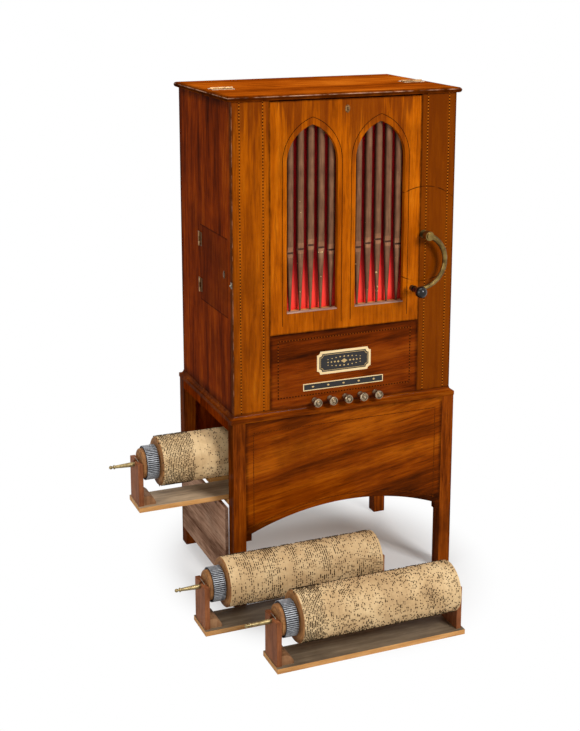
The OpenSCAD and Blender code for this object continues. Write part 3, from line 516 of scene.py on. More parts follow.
def cradle_wood(name, low, dust_and_shade, shift):
    """Grey-brown board with pale cut edges, red-brown posts and a dusty block.

    low is the corner of the cradle's box, and dust_and_shade lightens the board's top as painted light or
    darkens it as painted shadow of the barrels.
    """
    finish = Finish(name, Specular_IOR_Level=0.1)
    point = finish.place()
    x, _, z = finish.split(point)
    lengthwise = finish.scaled(point, (0.08, 1.0, 1.0), (shift, shift, 0.0))
    board_grain = finish.noise(lengthwise, 110.0, 4.0, 0.65)
    upright = finish.scaled(point, (1.0, 1.0, 0.1), (0.0, shift, shift))
    post_grain = finish.noise(upright, 110.0, 4.0, 0.65)
    cloud = finish.noise(finish.scaled(point, (0.5, 1.0, 1.0), (shift, 0.0, 0.0)), 16.0, 4.0, 0.6)
    # The board's top is lightened as painted light or darkened as painted shadow.
    greys = toned(BOARD_GREY, dust_and_shade)
    top = finish.ramp(board_grain * 0.5 + cloud * 0.5, list(zip((0.3, 0.48, 0.64), greys)))
    side = finish.three_tones(board_grain * 0.6 + cloud * 0.4,
                              srgb(150, 100, 50), srgb(196, 142, 84), srgb(218, 170, 112))
    post = finish.three_tones(post_grain * 0.6 + cloud * 0.4,
                              srgb(84, 44, 22), srgb(130, 76, 44), srgb(164, 106, 66))
    block = finish.three_tones(post_grain * 0.5 + cloud * 0.5,
                               srgb(96, 62, 38), srgb(146, 104, 70), srgb(176, 136, 98))
    on_block = (x > low.x + POST_END) * (x < low.x + BLOCK_END) * (z < low.z + BLOCK_TOP)
    board = finish.mix(finish.normal()[2] > 0.5, side, top)
    timber = finish.mix(on_block, post, block)
    colour = finish.mix(z > low.z + BOARD_TOP, board, timber)
    return finish.done(colour, board_grain * 0.25 + 0.48, board_grain, 0.14, 0.0006)


for number, unit in enumerate(SETS):
    axis = middle_of(f"{unit}_barrel")
    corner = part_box(f"{unit}_cradle")[0]
    dress(barrel_paper(f"{unit} paper", axis, number * 0.83), f"{unit}_barrel")
    dress(wheel_lead(f"{unit} lead", axis), f"{unit}_wheel")
    dress(cradle_wood(f"{unit} cradle wood", corner, BOARD_LIGHT_AND_SHADE[unit], number * 0.61), f"{unit}_cradle")
    dress(spindle_brass, f"{unit}_spindle")


# Making pieces

def linked(name, data):
    """A new object in the scene."""
    made = bpy.data.objects.new(name, data)
    bpy.context.scene.collection.objects.link(made)
    return made


def evaluated(carrier):
    """The mesh that an object's modifiers make. The object itself is removed."""
    graph = bpy.context.evaluated_depsgraph_get()
    mesh = bpy.data.meshes.new_from_object(carrier.evaluated_get(graph))
    bpy.data.objects.remove(carrier)
    return mesh


def piece(name, mesh, body, *materials, slot):
    """Links a finished mesh, gives it materials and lets it ride on a body."""
    made = linked(name, mesh)
    for material in materials:
        mesh.materials.append(material)
    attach(made, body)
    return made


def add_box(shape, low, high, bevel):
    """A box in a bmesh, with eased edges."""
    part = bmesh.new()
    bmesh.ops.create_cube(part, size=1.0)
    for vertex in part.verts:
        vertex.co = Vector([start + (at + 0.5) * (end - start)
                            for at, start, end in zip(vertex.co, low, high)])
    bmesh.ops.bevel(part, geom=part.edges[:], offset=bevel, segments=2, profile=0.6, affect="EDGES")
    kept = bpy.data.meshes.new("part")
    part.to_mesh(kept)
    part.free()
    shape.from_mesh(kept)
    bpy.data.meshes.remove(kept)


SHARP = math.radians(35)


def finished(shape, name, smooth=True):
    """A bmesh as a mesh with outward faces."""
    bmesh.ops.remove_doubles(shape, verts=shape.verts[:], dist=1e-6)
    bmesh.ops.recalc_face_normals(shape, faces=shape.faces[:])
    mesh = bpy.data.meshes.new(name)
    shape.to_mesh(mesh)
    shape.free()
    if smooth:
        for face in mesh.polygons:
            face.use_smooth = True
        mesh.set_sharp_from_angle(angle=SHARP)
    return mesh


class Maker(Graph):
    """A Geometry Nodes tree with named inputs, run once and turned into a mesh."""

    def __init__(self, name, inputs):
        super().__init__(bpy.data.node_groups.new(name, "GeometryNodeTree"))
        self.identifiers = {}
        self.tree.interface.new_socket("Geometry", in_out="INPUT", socket_type="NodeSocketGeometry")
        for key, kind in inputs.items():
            made = self.tree.interface.new_socket(key, in_out="INPUT", socket_type=kind)
            self.identifiers[key] = made.identifier
        self.tree.interface.new_socket("Geometry", in_out="OUTPUT", socket_type="NodeSocketGeometry")
        self.entry = self.tree.nodes.new("NodeGroupInput")
        self.exit = self.tree.nodes.new("NodeGroupOutput")

    def given(self, key):
        return Value(self, self.entry.outputs[key])

    def cube(self, size):
        return self.node("GeometryNodeMeshCube", {}, {"Size": size})

    def moved(self, geometry, **sockets):
        return self.node("GeometryNodeTransform", {}, {"Geometry": geometry, **sockets})

    def laid(self, points, shape, turn, key, scale=(1.0, 1.0, 1.0)):
        """A shape on each point, in the material that an input holds."""
        sockets = {"Points": points, "Instance": shape, "Rotation": turn, "Scale": scale}
        every = self.node("GeometryNodeInstanceOnPoints", {}, sockets)
        real = self.node("GeometryNodeRealizeInstances", {}, {0: every})
        return self.node("GeometryNodeSetMaterial", {}, {"Geometry": real, "Material": self.given(key)})

    def chance(self, seed):
        """A number from 0 to 1 for each point."""
        sockets = {2: 0.0, 3: 1.0, "Seed": seed}
        return self.node("FunctionNodeRandomValue", {"data_type": "FLOAT"}, sockets, 1)

    def close(self, *parts):
        """Joins the parts into what the tree gives."""
        both = self.tree.nodes.new("GeometryNodeJoinGeometry")
        for part in parts:
            self.tree.links.new(part.socket, both.inputs[0])
        whole = self.node("GeometryNodeRealizeInstances", {}, {0: Value(self, both.outputs[0])})
        self.tree.links.new(whole.socket, self.exit.inputs[0])

    def run(self, name, data, values):
        """The mesh that the tree makes from data with these values."""
        carrier = linked(name, data)
        modifier = carrier.modifiers.new("make", "NODES")
        modifier.node_group = self.tree
        for key, value in values.items():
            modifier[self.identifiers[key]] = value
        mesh = evaluated(carrier)
        mesh.name = name
        return mesh


# Dotted inlay lines

def inlay_finish(name, light, dark):
    finish = Finish(name, Specular_IOR_Level=0.0)
    grain = finish.noise(finish.place(), 700.0, 3.0, 0.6)
    return finish.done(finish.mix(grain, light, dark), grain * 0.2 + 0.3)


ebony_dot = inlay_finish("inlay ebony", srgb(40, 16, 5), srgb(20, 9, 4))
box_dot = inlay_finish("inlay boxwood", srgb(178, 98, 22), srgb(152, 80, 12))
dim_dot = inlay_finish("inlay worn", srgb(128, 60, 12), srgb(100, 42, 6))


def dotted_maker():
    """Dark and pale tiles in turn along curves that lie in a plane facing the front."""
    maker = Maker("dotted inlay", {"Pitch": "NodeSocketFloat", "Tile": "NodeSocketVector",
                                   "Dark": "NodeSocketMaterial", "Pale": "NodeSocketMaterial"})
    halves = []
    for key in ("Dark", "Pale"):
        path = maker.node("GeometryNodeResampleCurve", {"mode": "LENGTH"},
                          {"Curve": maker.given("Geometry"), "Length": maker.given("Pitch")})
        along = maker.split(maker.node("GeometryNodeInputTangent"))
        turn = maker.maths("ARCTAN2", along[2] * -1.0, along[0])
        tile = maker.cube(maker.given("Tile"))
        if key == "Pale":
            slide = maker.node("ShaderNodeVectorMath", {"operation": "SCALE"},
                               {0: (0.5, 0.0, 0.0), "Scale": maker.given("Pitch")})
            tile = maker.moved(tile, Translation=slide)
        halves.append(maker.laid(path, tile, maker.join(0.0, turn, 0.0), key))
    maker.close(*halves)
    return maker


INLAY = dotted_maker()
TILE_SHARE = 0.48
TILE_THICK = 0.0005


def dotted_lines(name, body, paths, pitch=0.0088, wide=0.0029, pale=box_dot):
    """One piece of dotted inlay from paths of points in metres."""
    curve = bpy.data.curves.new(name, "CURVE")
    curve.dimensions = "3D"
    for points in paths:
        spline = curve.splines.new("POLY")
        spline.points.add(len(points) - 1)
        for target, point in zip(spline.points, points):
            target.co = (*point, 1.0)
    mesh = INLAY.run(name, curve, {"Pitch": pitch, "Tile": (pitch * TILE_SHARE, TILE_THICK, wide),
                                   "Dark": ebony_dot, "Pale": pale})
    piece(name, mesh, body, slot="case_mahogany")


def pointed_path(centre_x, half, foot, spring, rise, y, steps=14):
    """Points round a pointed arch, from one foot over the head to the other."""
    radius = (rise * rise + half * half) / (2 * half)
    sweep = math.asin(rise / radius)
    left = [(centre_x - half + radius - radius * math.cos(sweep * i / steps), y,
             spring + radius * math.sin(sweep * i / steps)) for i in range(steps + 1)]
    right = [(2 * centre_x - x, y, z) for x, y, z in reversed(left[:-1])]
    return [(centre_x - half, y, foot), *left, *right, (centre_x + half, y, foot)]


ARCH_X = 0.103
ARCH_HALF = 0.076
SILL = 0.843
SPRING = SILL + 0.419
RISE = 0.104
FACE = FRONT_FACE - 0.0001
STILE_LINES = (-0.315, -0.248, 0.248, 0.315)
STILE_LINE_Z = (BASE + 0.004, TOP - 0.004)
ARCH_LINE_HALF = ARCH_HALF + 0.013
ARCH_LINE_FOOT = SILL - 0.034
ARCH_LINE_RISE = RISE + 0.020
NAME_LINE_X = 0.205
NAME_LINE_Z = (0.600, 0.765)
FINE_PITCH = 0.0046
ARCH_LINE_WIDE = 0.0015
APRON_LINE_WIDE = 0.0017

dotted_lines("stile_inlay", "case", [[(x, FACE, z) for z in STILE_LINE_Z] for x in STILE_LINES])
arch_lines = [pointed_path(side * ARCH_X, ARCH_LINE_HALF, ARCH_LINE_FOOT, SPRING, ARCH_LINE_RISE, FACE)
              for side in (-1, 1)]
dotted_lines("arch_inlay", "front_panel", arch_lines, FINE_PITCH, ARCH_LINE_WIDE, ebony_dot)
bottom, top = NAME_LINE_Z
name_box = [(-NAME_LINE_X, FACE, bottom), (-NAME_LINE_X, FACE, top), (NAME_LINE_X, FACE, top),
            (NAME_LINE_X, FACE, bottom), (-NAME_LINE_X, FACE, bottom)]
dotted_lines("name_panel_inlay", "case", [name_box], pale=dim_dot)

APRON_FACE = -0.2401
APRON_IN = 0.285
APRON_CROWN = 0.272
APRON_R = 0.780
APRON_MARGIN = 0.017
APRON_LINE_TOP = 0.514
ARC_STEPS = 40


def apron_arc(x):
    """Height of the line that follows the apron's arch."""
    return APRON_CROWN - APRON_R + math.sqrt((APRON_R + APRON_MARGIN) ** 2 - x * x)


apron_foot = apron_arc(APRON_IN)
apron_box = [(-APRON_IN, APRON_FACE, apron_foot), (-APRON_IN, APRON_FACE, APRON_LINE_TOP),
             (APRON_IN, APRON_FACE, APRON_LINE_TOP), (APRON_IN, APRON_FACE, apron_foot)]
arc_x = [APRON_IN * (2 * k / ARC_STEPS - 1) for k in range(ARC_STEPS + 1)]
apron_arch = [(x, APRON_FACE, apron_arc(x)) for x in arc_x]
dotted_lines("apron_inlay", "case", [apron_box, apron_arch], FINE_PITCH, APRON_LINE_WIDE, dim_dot)


# Pinned barrels

BARE_RIM = 0.007
CROWD = 1.2
FULLEST = 1.0 + CROWD


def pin_maker():
    """Brass pins and bridges on a drum: dense near the wheel, in clouds elsewhere, all in ruled tracks."""
    maker = Maker("barrel pins", {
        "Centre": "NodeSocketVector", "Radius": "NodeSocketFloat", "Length": "NodeSocketFloat",
        "Track": "NodeSocketFloat", "Pin": "NodeSocketVector", "Density": "NodeSocketFloat",
        "Apart": "NodeSocketFloat", "Band": "NodeSocketFloat", "Lanes": "NodeSocketFloat",
        "Seed": "NodeSocketInt", "Metal": "NodeSocketMaterial"})
    seed = maker.given("Seed")
    drum = maker.node("GeometryNodeMeshCylinder", {"fill_type": "NONE"},
                      {"Vertices": 96, "Side Segments": 40, "Radius": maker.given("Radius"),
                       "Depth": maker.given("Length")})
    drum = maker.moved(drum, Rotation=(0.0, math.pi / 2, 0.0))
    place = maker.node("GeometryNodeInputPosition")
    along, across, up = maker.split(place)
    field = maker.node("ShaderNodeTexNoise", {"noise_dimensions": "4D"},
                       {"Vector": place, "W": seed * 3.7, "Scale": 22.0, "Detail": 2.0})
    cloud = maker.step(field, 0.36, 0.66, 0.4)
    from_wheel = maker.given("Length") * 0.5 + along
    crowd = maker.given("Band") > from_wheel
    share = (cloud + crowd * CROWD) * (from_wheel > BARE_RIM) / FULLEST
    spots = maker.node("GeometryNodeDistributePointsOnFaces", {"distribute_method": "POISSON"},
                       {"Mesh": drum, "Distance Min": maker.given("Apart"), "Density Factor": share,
                        "Density Max": maker.given("Density") * FULLEST, "Seed": seed})
    lane = maker.maths("FLOOR", along / maker.given("Track"))
    single = maker.node("ShaderNodeTexWhiteNoise", {"noise_dimensions": "2D"},
                        {"Vector": maker.join(lane, seed, 0.0)})
    group = maker.node("ShaderNodeTexNoise", {"noise_dimensions": "1D"},
                       {"W": along * 26.0 + seed, "Scale": 1.0, "Detail": 2.0})
    empty = single * 0.45 + maker.step(group, 0.62, 0.44) * 0.65
    lost = empty * maker.given("Lanes") * (from_wheel > maker.given("Band")) > maker.chance(seed + 5.0)
    spots = maker.node("GeometryNodeDeleteGeometry", {}, {"Geometry": spots, "Selection": lost})
    track = maker.maths("SNAP", along, maker.given("Track"))
    spots = maker.node("GeometryNodeSetPosition", {},
                       {"Geometry": spots, "Position": maker.join(track, across, up)})
    turn = maker.maths("ARCTAN2", across * -1.0, up)
    bridge = maker.node("ShaderNodeMapRange", {}, {0: maker.chance(seed), 1: 0.6, 2: 1.0, 3: 1.0, 4: 2.6})
    pins = maker.laid(spots, maker.cube(maker.given("Pin")), maker.join(turn, 0.0, 0.0), "Metal",
                      maker.join(1.0, bridge, 1.0))
    maker.close(maker.moved(pins, Translation=maker.given("Centre")))
    return maker


PINS = pin_maker()
DRUM_R = 0.0690
DRUM_LENGTH = 0.461
PINNED_LENGTH = DRUM_LENGTH - 0.004
PIN_SIZE = (0.0014, 0.0016, 0.0040)
PIN_KEYS = ("Density", "Apart", "Band", "Lanes", "Track", "Seed")
PIN_FIELDS = {
    "playing": (9000.0, 0.0030, 0.0, 0.6, 0.0044, 11),
    "drawn": (110000.0, 0.0028, 0.092, 0.9, 0.0048, 23),
    "middle": (300000.0, 0.0016, 0.0, 0.88, 0.0060, 37),
    "near": (300000.0, 0.0029, 0.066, 0.3, 0.0046, 41),
}
for unit, field in PIN_FIELDS.items():
    low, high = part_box(f"{unit}_barrel")
    drum_x = low.x + DRUM_LENGTH / 2 if unit == "playing" else high.x - DRUM_LENGTH / 2
    mesh = PINS.run(f"{unit}_pins", bpy.data.meshes.new("seed"), {
        "Centre": (drum_x, (low.y + high.y) / 2, (low.z + high.z) / 2), "Radius": DRUM_R,
        "Length": PINNED_LENGTH, "Pin": PIN_SIZE, "Metal": pin_metal, **dict(zip(PIN_KEYS, field))})
    piece(f"{unit}_pins", mesh, f"{unit}_barrel", slot="spindle_brass")


# Dummy pipes, silk and sills behind the pointed openings

def ring_stack(shape, rings, bands=None):
    """A skin through rings of points, with both ends capped.

    bands gives the faces that start at a ring, by its number, another material.
    """
    loops = [[shape.verts.new(point) for point in ring] for ring in rings]
    count = len(loops[0])
    for level, (lower, upper) in enumerate(zip(loops, loops[1:])):
        for k in range(count):
            face = shape.faces.new((lower[k], lower[(k + 1) % count], upper[(k + 1) % count], upper[k]))
            face.material_index = (bands or {}).get(level, 0)
    shape.faces.new(list(reversed(loops[0])))
    shape.faces.new(loops[-1])


PIPE_R = 0.0110
PIPE_DEEP = 0.0098
PIPE_TIP = 0.0030
PIPE_Y = -0.2017
PIPE_TOP = 1.392
PIPE_PITCH = 0.0310
PIPE_SLIDE = 0.0042
PIPE_SIDES = 28
# Faces from ring 2, the lower lip, and ring 6, the upper lip, take the lip material, a painted highlight;
# faces from ring 4, in the mouth, take near-black painted shade.
PIPE_LIGHT_AND_SHADE_BANDS = {2: 2, 4: 1, 6: 2}
MOUTH_DEEP = 0.0024


def dummy_pipe(shape, x, foot):
    """Conical foot, recessed mouth, pressed upper lip and plain body. foot is the height of the mouth."""
    def cone(height):
        return PIPE_TIP + (PIPE_R - PIPE_TIP) * height / foot
    below = foot - 0.030
    lip = foot - 0.010
    # Height, radius, and how far the front comes forward
    profile = [(0.0, PIPE_TIP, PIPE_TIP), (below, cone(below), cone(below)), (lip, cone(lip), 0.0068),
               (foot, PIPE_R, 0.0058), (foot + 0.0004, PIPE_R - 0.0004, MOUTH_DEEP),
               (foot + 0.0052, PIPE_R - 0.0004, MOUTH_DEEP), (foot + 0.0056, PIPE_R, 0.0056),
               (foot + 0.020, PIPE_R, 0.0072), (foot + 0.042, PIPE_R, PIPE_R),
               (PIPE_TOP - SILL, PIPE_R, PIPE_R)]
    rings = []
    for height, radius, flat in profile:
        ring = []
        for k in range(PIPE_SIDES):
            angle = 2 * math.pi * k / PIPE_SIDES
            depth = max(-flat, -radius * PIPE_DEEP / PIPE_R * math.cos(angle))
            ring.append((x + radius * math.sin(angle), PIPE_Y + depth, SILL + height))
        rings.append(ring)
    ring_stack(shape, rings, PIPE_LIGHT_AND_SHADE_BANDS)


BRONZE = (srgb(74, 47, 32), srgb(110, 74, 51), srgb(138, 100, 72))


def pipe_finish(name, highlight_lift=1.0):
    """Dull bronze paint with small chips and painted shade on the flanks. highlight_lift lightens it into a
    painted highlight for the lips.
    """
    finish = Finish(name, Metallic=0.15, Specular_IOR_Level=0.15)
    point = finish.place()
    brushed = finish.noise(finish.scaled(point, (1.0, 1.0, 0.06)), 260.0, 3.0, 0.6)
    cloud = finish.noise(point, 24.0, 4.0, 0.6)
    chip = finish.step(finish.noise(point, 95.0, 2.0, 0.5), 0.735, 0.755)
    colour = finish.three_tones(brushed * 0.5 + cloud * 0.5, *toned(BRONZE, highlight_lift))
    # Painted shade on the sides of each pipe.
    flank_shade = finish.step(abs(finish.normal()[0]), 0.35, 1.0)
    colour = finish.mix(flank_shade * 0.75, colour, srgb(34, 16, 12))
    colour = finish.mix(chip * 0.8, colour, srgb(214, 186, 130))
    return finish.done(colour, brushed * 0.2 + 0.38, brushed, 0.08, 0.0004)


def plain_dark(name, tone):
    """Painted shade for the unlit depth of a mouth, slot or keyhole: near black and a little dusty."""
    finish = Finish(name, Specular_IOR_Level=0.1)
    dust_and_shade = finish.noise(finish.place(), 240.0, 3.0, 0.6)
    return finish.done(finish.mix(dust_and_shade, tone, shaded(tone, 2.2)), dust_and_shade * 0.2 + 0.7)


shadow_dark = plain_dark("shadow dark", srgb(20, 12, 9))
# Pipe bronze, the mouth's near-black painted shade, and the lip's lighter copy as a painted highlight.
bronzes = (pipe_finish("pipe bronze"), plain_dark("mouth brown", srgb(60, 39, 30)),
           pipe_finish("pipe lip", 1.5))
FOOT = 0.182
FOOT_STEP = 0.009
pipes = bmesh.new()
for side in (-1, 1):
    for number in range(-2, 3):
        dummy_pipe(pipes, side * ARCH_X + PIPE_SLIDE + number * PIPE_PITCH, FOOT - FOOT_STEP * abs(number))
pipe_row = piece("dummy_pipe_row", finished(pipes, "dummy_pipe_row"), "front_panel", *bronzes,
                 slot="pipe_brown")
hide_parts("dummy_pipes")


def thickened(mesh, depth):
    """A sheet of faces as a closed skin of that thickness."""
    carrier = linked("carrier", mesh)
    wall = carrier.modifiers.new("wall", "SOLIDIFY")
    wall.thickness = depth
    wall.offset = 0.0
    return evaluated(carrier)


THREADS = 9000.0
SILK_LIT_Z = (0.86, 1.02)


def silk_finish():
    """Crimson silk: fine weave, soft sheen, and painted light that makes it brighter and pinker towards the
    bottom.
    """
    finish = Finish("crimson silk", Sheen_Weight=0.1, Sheen_Roughness=0.4, Specular_IOR_Level=0.15)
    point = finish.place()
    x, _, z = finish.split(point)
    weave = finish.maths("SINE", x * THREADS) * finish.maths("SINE", z * THREADS)
    slub = finish.noise(finish.scaled(point, (1.0, 1.0, 0.12)), 140.0, 3.0, 0.6)
    # Painted light: brighter and pinker towards the bottom.
    low = 1.0 - finish.step(z, *SILK_LIT_Z)
    colour = finish.ramp(slub, [(0.3, srgb(176, 6, 20)), (0.5, srgb(214, 14, 30)),
                                (0.72, srgb(236, 36, 46))])
    colour = finish.mix(low * 0.95, colour, srgb(255, 64, 52))
    return finish.done(colour, slub * 0.2 + 0.4, weave * 0.5 + slub, 0.10, 0.0003)


SILK_X = 0.195
SILK_Y = -0.1895
SILK_Z = (0.829, 1.406)
SILK_THICK = 0.0004


def silk_panel():
    """Silk stretched between two rails, with slight upright ripples."""
    columns = 156
    rows = 24
    ripple = 0.0007
    waves = 17.0
    drift = 0.6
    drift_step = 0.4
    points = []
    for row in range(rows + 1):
        for column in range(columns + 1):
            share = column / columns
            phase = drift * math.sin(row * drift_step)
            sway = ripple * math.sin(share * waves * 2 * math.pi + phase)
            points.append((SILK_X * (2 * share - 1), SILK_Y + sway,
                           SILK_Z[0] + (SILK_Z[1] - SILK_Z[0]) * row / rows))
    step = columns + 1
    corners = [row * step + column for row in range(rows) for column in range(columns)]
    faces = [(k, k + 1, k + step + 1, k + step) for k in corners]
    mesh = bpy.data.meshes.new("silk")
    mesh.from_pydata(points, [], faces)
    width = sum(math.dist(points[k], points[k + 1]) for k in range(columns))
    for face in mesh.polygons:
        face.use_smooth = True
    return thickened(mesh, SILK_THICK), width


silk_mesh, silk_width = silk_panel()
silk = piece("silk_panel", silk_mesh, "front_panel", silk_finish(), slot="silk")
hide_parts("red_silk")

# Pale tones of the sill strips: a painted highlight along the bottom of each opening.
SILL_HIGHLIGHT_TONES = (srgb(114, 78, 66), srgb(154, 116, 100), srgb(180, 144, 126), srgb(200, 170, 154))
STRIP_Y = (FRONT_FACE - 0.0015, -0.2130)
STRIP_Z = (SILL + 0.0001, SILL + 0.0032)
STRIP_GAP = 0.0005
STRIP_BEVEL = 0.0008
sills = bmesh.new()
for side in (-1, 1):
    add_box(sills, (side * ARCH_X - ARCH_HALF + STRIP_GAP, STRIP_Y[0], STRIP_Z[0]),
            (side * ARCH_X + ARCH_HALF - STRIP_GAP, STRIP_Y[1], STRIP_Z[1]), STRIP_BEVEL)
piece("sill_strips", finished(sills, "sill_strips"), "front_panel",
      wood("sill strip wood", SILL_HIGHLIGHT_TONES, "x", 0.6, shift=12.7), slot="case_mahogany")


# Plates and keyholes

def extrude_outline(shape, outline, centre, back, front, level):
    """A flat plate from an outline of (x, z) round a centre, between two depths. level is its material."""
    middle_x, middle_z = centre
    rear = [shape.verts.new((middle_x + x, back, middle_z + z)) for x, z in outline]
    fore = [shape.verts.new((middle_x + x, front, middle_z + z)) for x, z in outline]
    count = len(outline)
    faces = [shape.faces.new(fore), shape.faces.new(list(reversed(rear)))]
    for k in range(count):
        faces.append(shape.faces.new((rear[k], rear[(k + 1) % count], fore[(k + 1) % count], fore[k])))
    for face in faces:
        face.material_index = level


CORNERS = ((1, 1), (-1, 1), (-1, -1), (1, -1))


def scooped_corners(width, height, scoop, steps=6):
    """Outline of a rectangle whose corners are hollowed by quarter circles, in order round it."""
    outline = []
    for sx, sz in CORNERS:
        first = (sx * -1, 0) if sx * sz < 0 else (0, sz * -1)
        last = (0, sz * -1) if sx * sz < 0 else (sx * -1, 0)
        for k in range(steps + 1):
            turn = math.pi / 2 * k / steps
            dx = first[0] * math.cos(turn) + last[0] * math.sin(turn)
            dz = first[1] * math.cos(turn) + last[1] * math.sin(turn)
            outline.append((sx * width / 2 + scoop * dx, sz * height / 2 + scoop * dz))
    return outline


def ellipse(half_wide, half_high, steps=28):
    return [(half_wide * math.cos(2 * math.pi * k / steps), half_high * math.sin(2 * math.pi * k / steps))
            for k in range(steps)]


def keyhole(size, steps=12):
    """Outline of a keyhole: a round top on a flared slot."""
    outline = []
    for k in range(steps + 1):
        angle = math.radians(-55 + 290 * k / steps)
        outline.append((size * math.cos(angle), size * (0.9 + math.sin(angle))))
    return [*outline, (-0.75 * size, -2.3 * size), (0.75 * size, -2.3 * size)]


def lozenge(half_wide, half_high):
    return [(half_wide, 0.0), (0.0, half_high), (-half_wide, 0.0), (0.0, -half_high)]


def rectangle(width, height):
    return [(sx * width / 2, sz * height / 2) for sx, sz in CORNERS]


def plate_finish(name, pale, deep, rough):
    """Painted plate with age spots."""
    finish = Finish(name, Specular_IOR_Level=0.35)
    point = finish.place()
    age = finish.noise(point, 60.0, 5.0, 0.65)
    fleck = finish.step(finish.noise(point, 420.0, 2.0, 0.6), 0.62, 0.70)
    colour = finish.mix(age * 0.7 + fleck * 0.3, pale, deep)
    return finish.done(colour, age * 0.2 + rough, age, 0.05, 0.0003)


cream_paint = plate_finish("plate cream", srgb(238, 212, 160), srgb(196, 160, 104), 0.45)
black_paint = plate_finish("plate black", srgb(16, 15, 16), srgb(36, 32, 30), 0.35)
gilt_paint = plate_finish("plate gilt", srgb(206, 176, 118), srgb(150, 116, 66), 0.4)
PLATE_MIDDLE = (-0.004, 0.689)
PLATE_SIZE = (0.167, 0.067)
STRIP_MIDDLE = (-0.005, 0.623)
STRIP_SIZE = (0.249, 0.021)
STRIP_MARK = (0.0045, 0.0030)
STRIP_MARK_PITCH = 0.0475


def name_plates():
    """The two plates over the stops: cream borders, black fields, plain gilt lines and lozenges."""
    shape = bmesh.new()
    wide, high = PLATE_SIZE
    # Inset, hollow of the corners, material
    layers = [(0.0, 0.0100, 0), (0.014, 0.0090, 1), (0.020, 0.0085, 2), (0.0225, 0.0082, 1)]
    for step, (inset, scoop, level) in enumerate(layers):
        front = FRONT_FACE - 0.0009 - 0.00018 * step
        outline = scooped_corners(wide - inset, high - inset, scoop)
        extrude_outline(shape, outline, PLATE_MIDDLE, FRONT_FACE, front, level)
    # Place on the plate, half width, half height
    marks = [((0.0, 0.0), 0.010, 0.0065)]
    for k in range(1, 5):
        away = 0.008 + 0.0105 * k
        marks += [((side * away, 0.0), 0.0042 - 0.0004 * k, 0.0036 - 0.0003 * k) for side in (-1, 1)]
    for k in range(-4, 5):
        small = 0.0034 - 0.0003 * abs(k)
        marks += [((k * 0.0125, row * (0.0130 - 0.0003 * k * k)), small, small * 0.7) for row in (-1, 1)]
    for (dx, dz), half_wide, half_high in marks:
        spot = (PLATE_MIDDLE[0] + dx, PLATE_MIDDLE[1] + dz)
        diamond = lozenge(half_wide, half_high)
        extrude_outline(shape, diamond, spot, FRONT_FACE - 0.0014, FRONT_FACE - 0.0016, 2)
    wide, high = STRIP_SIZE
    # Inset, thickness, material
    for inset, depth, level in ((0.0, 0.0007, 0), (0.005, 0.0009, 1)):
        outline = rectangle(wide - inset, high - inset)
        extrude_outline(shape, outline, STRIP_MIDDLE, FRONT_FACE, FRONT_FACE - depth, level)
    for k in range(-2, 3):
        spot = (STRIP_MIDDLE[0] + STRIP_MARK_PITCH * k, STRIP_MIDDLE[1])
        extrude_outline(shape, lozenge(*STRIP_MARK), spot, FRONT_FACE - 0.0008, FRONT_FACE - 0.0011, 2)
    return finished(shape, "name_plates", smooth=False)


piece("name_plates", name_plates(), "case", cream_paint, black_paint, gilt_paint, slot="case_mahogany")


# Half width, half height and front of each step
KEY_STEPS = ((0.0072, 0.0110, -0.0008), (0.0060, 0.0098, -0.0014))
KEYHOLE_SIZE = 0.0022
KEYHOLE_AT = (0.0, 0.0006)
KEYHOLE_FRONT = -0.0016


def keyhole_plate(name, body, place, turned=False):
    """A brass keyhole plate in two steps with a keyhole of painted shade. turned puts it on the left side.
    """
    shape = bmesh.new()
    for half_wide, half_high, front in KEY_STEPS:
        extrude_outline(shape, ellipse(half_wide, half_high), (0.0, 0.0), 0.0, front, 0)
    # The keyhole is a dark shape of painted shade.
    extrude_outline(shape, keyhole(KEYHOLE_SIZE), KEYHOLE_AT, 0.0, KEYHOLE_FRONT, 1)
    mesh = finished(shape, name, smooth=False)
    turn = -math.pi / 2 if turned else 0.0
    mesh.transform(Matrix.Translation(place) @ Matrix.Rotation(turn, 4, "Z"))
    piece(name, mesh, body, plate_brass, shadow_dark, slot="hinge_brass")


# How far out each box of the catch reaches, from and to, its two ends in y and in z, and its bevel
CATCH_BOXES = (
    (0.0014, 0.0, -0.2235, -0.2120, 0.9285, 0.9455, 0.0005),
    (0.0062, 0.0010, -0.2205, -0.2165, 0.9345, 0.9395, 0.0010),
    (0.0022, 0.0010, -0.2192, -0.2168, 0.9298, 0.9322, 0.0005),
    (0.0022, 0.0010, -0.2192, -0.2168, 0.9418, 0.9442, 0.0005),
)


def corner_catch():
    """Worn catch at the front corner that holds the barrel door: a plate, a staple and two rivets."""
    shape = bmesh.new()
    for out, inner, front, back, bottom, top, bevel in CATCH_BOXES:
        add_box(shape, (-CASE - out, front, bottom), (-CASE - inner, back, top), bevel)
    return finished(shape, "corner_catch")


piece("corner_catch", corner_catch(), "case", steel_wire, slot="hinge_brass")
keyhole_plate("front_keyhole", "front_panel", (0.0, FRONT_FACE, 1.404))
keyhole_plate("door_keyhole", "side_door", (-CASE, -0.158, 0.955), turned=True)


# Wire keepers over the spindles, and screws

def tube(shape, path, radius, sides=10):
    """A round wire along points, with capped ends."""
    points = [Vector(point) for point in path]
    rings = []
    side = None
    for k, point in enumerate(points):
        ahead = points[min(k + 1, len(points) - 1)] - points[max(k - 1, 0)]
        ahead.normalize()
        if side is None:
            side = ahead.orthogonal().normalized()
        side = (side - ahead * side.dot(ahead)).normalized()
        other = ahead.cross(side)
        rings.append([point + radius * (math.cos(a) * side + math.sin(a) * other)
                      for a in (2 * math.pi * n / sides for n in range(sides))])
    ring_stack(shape, rings)


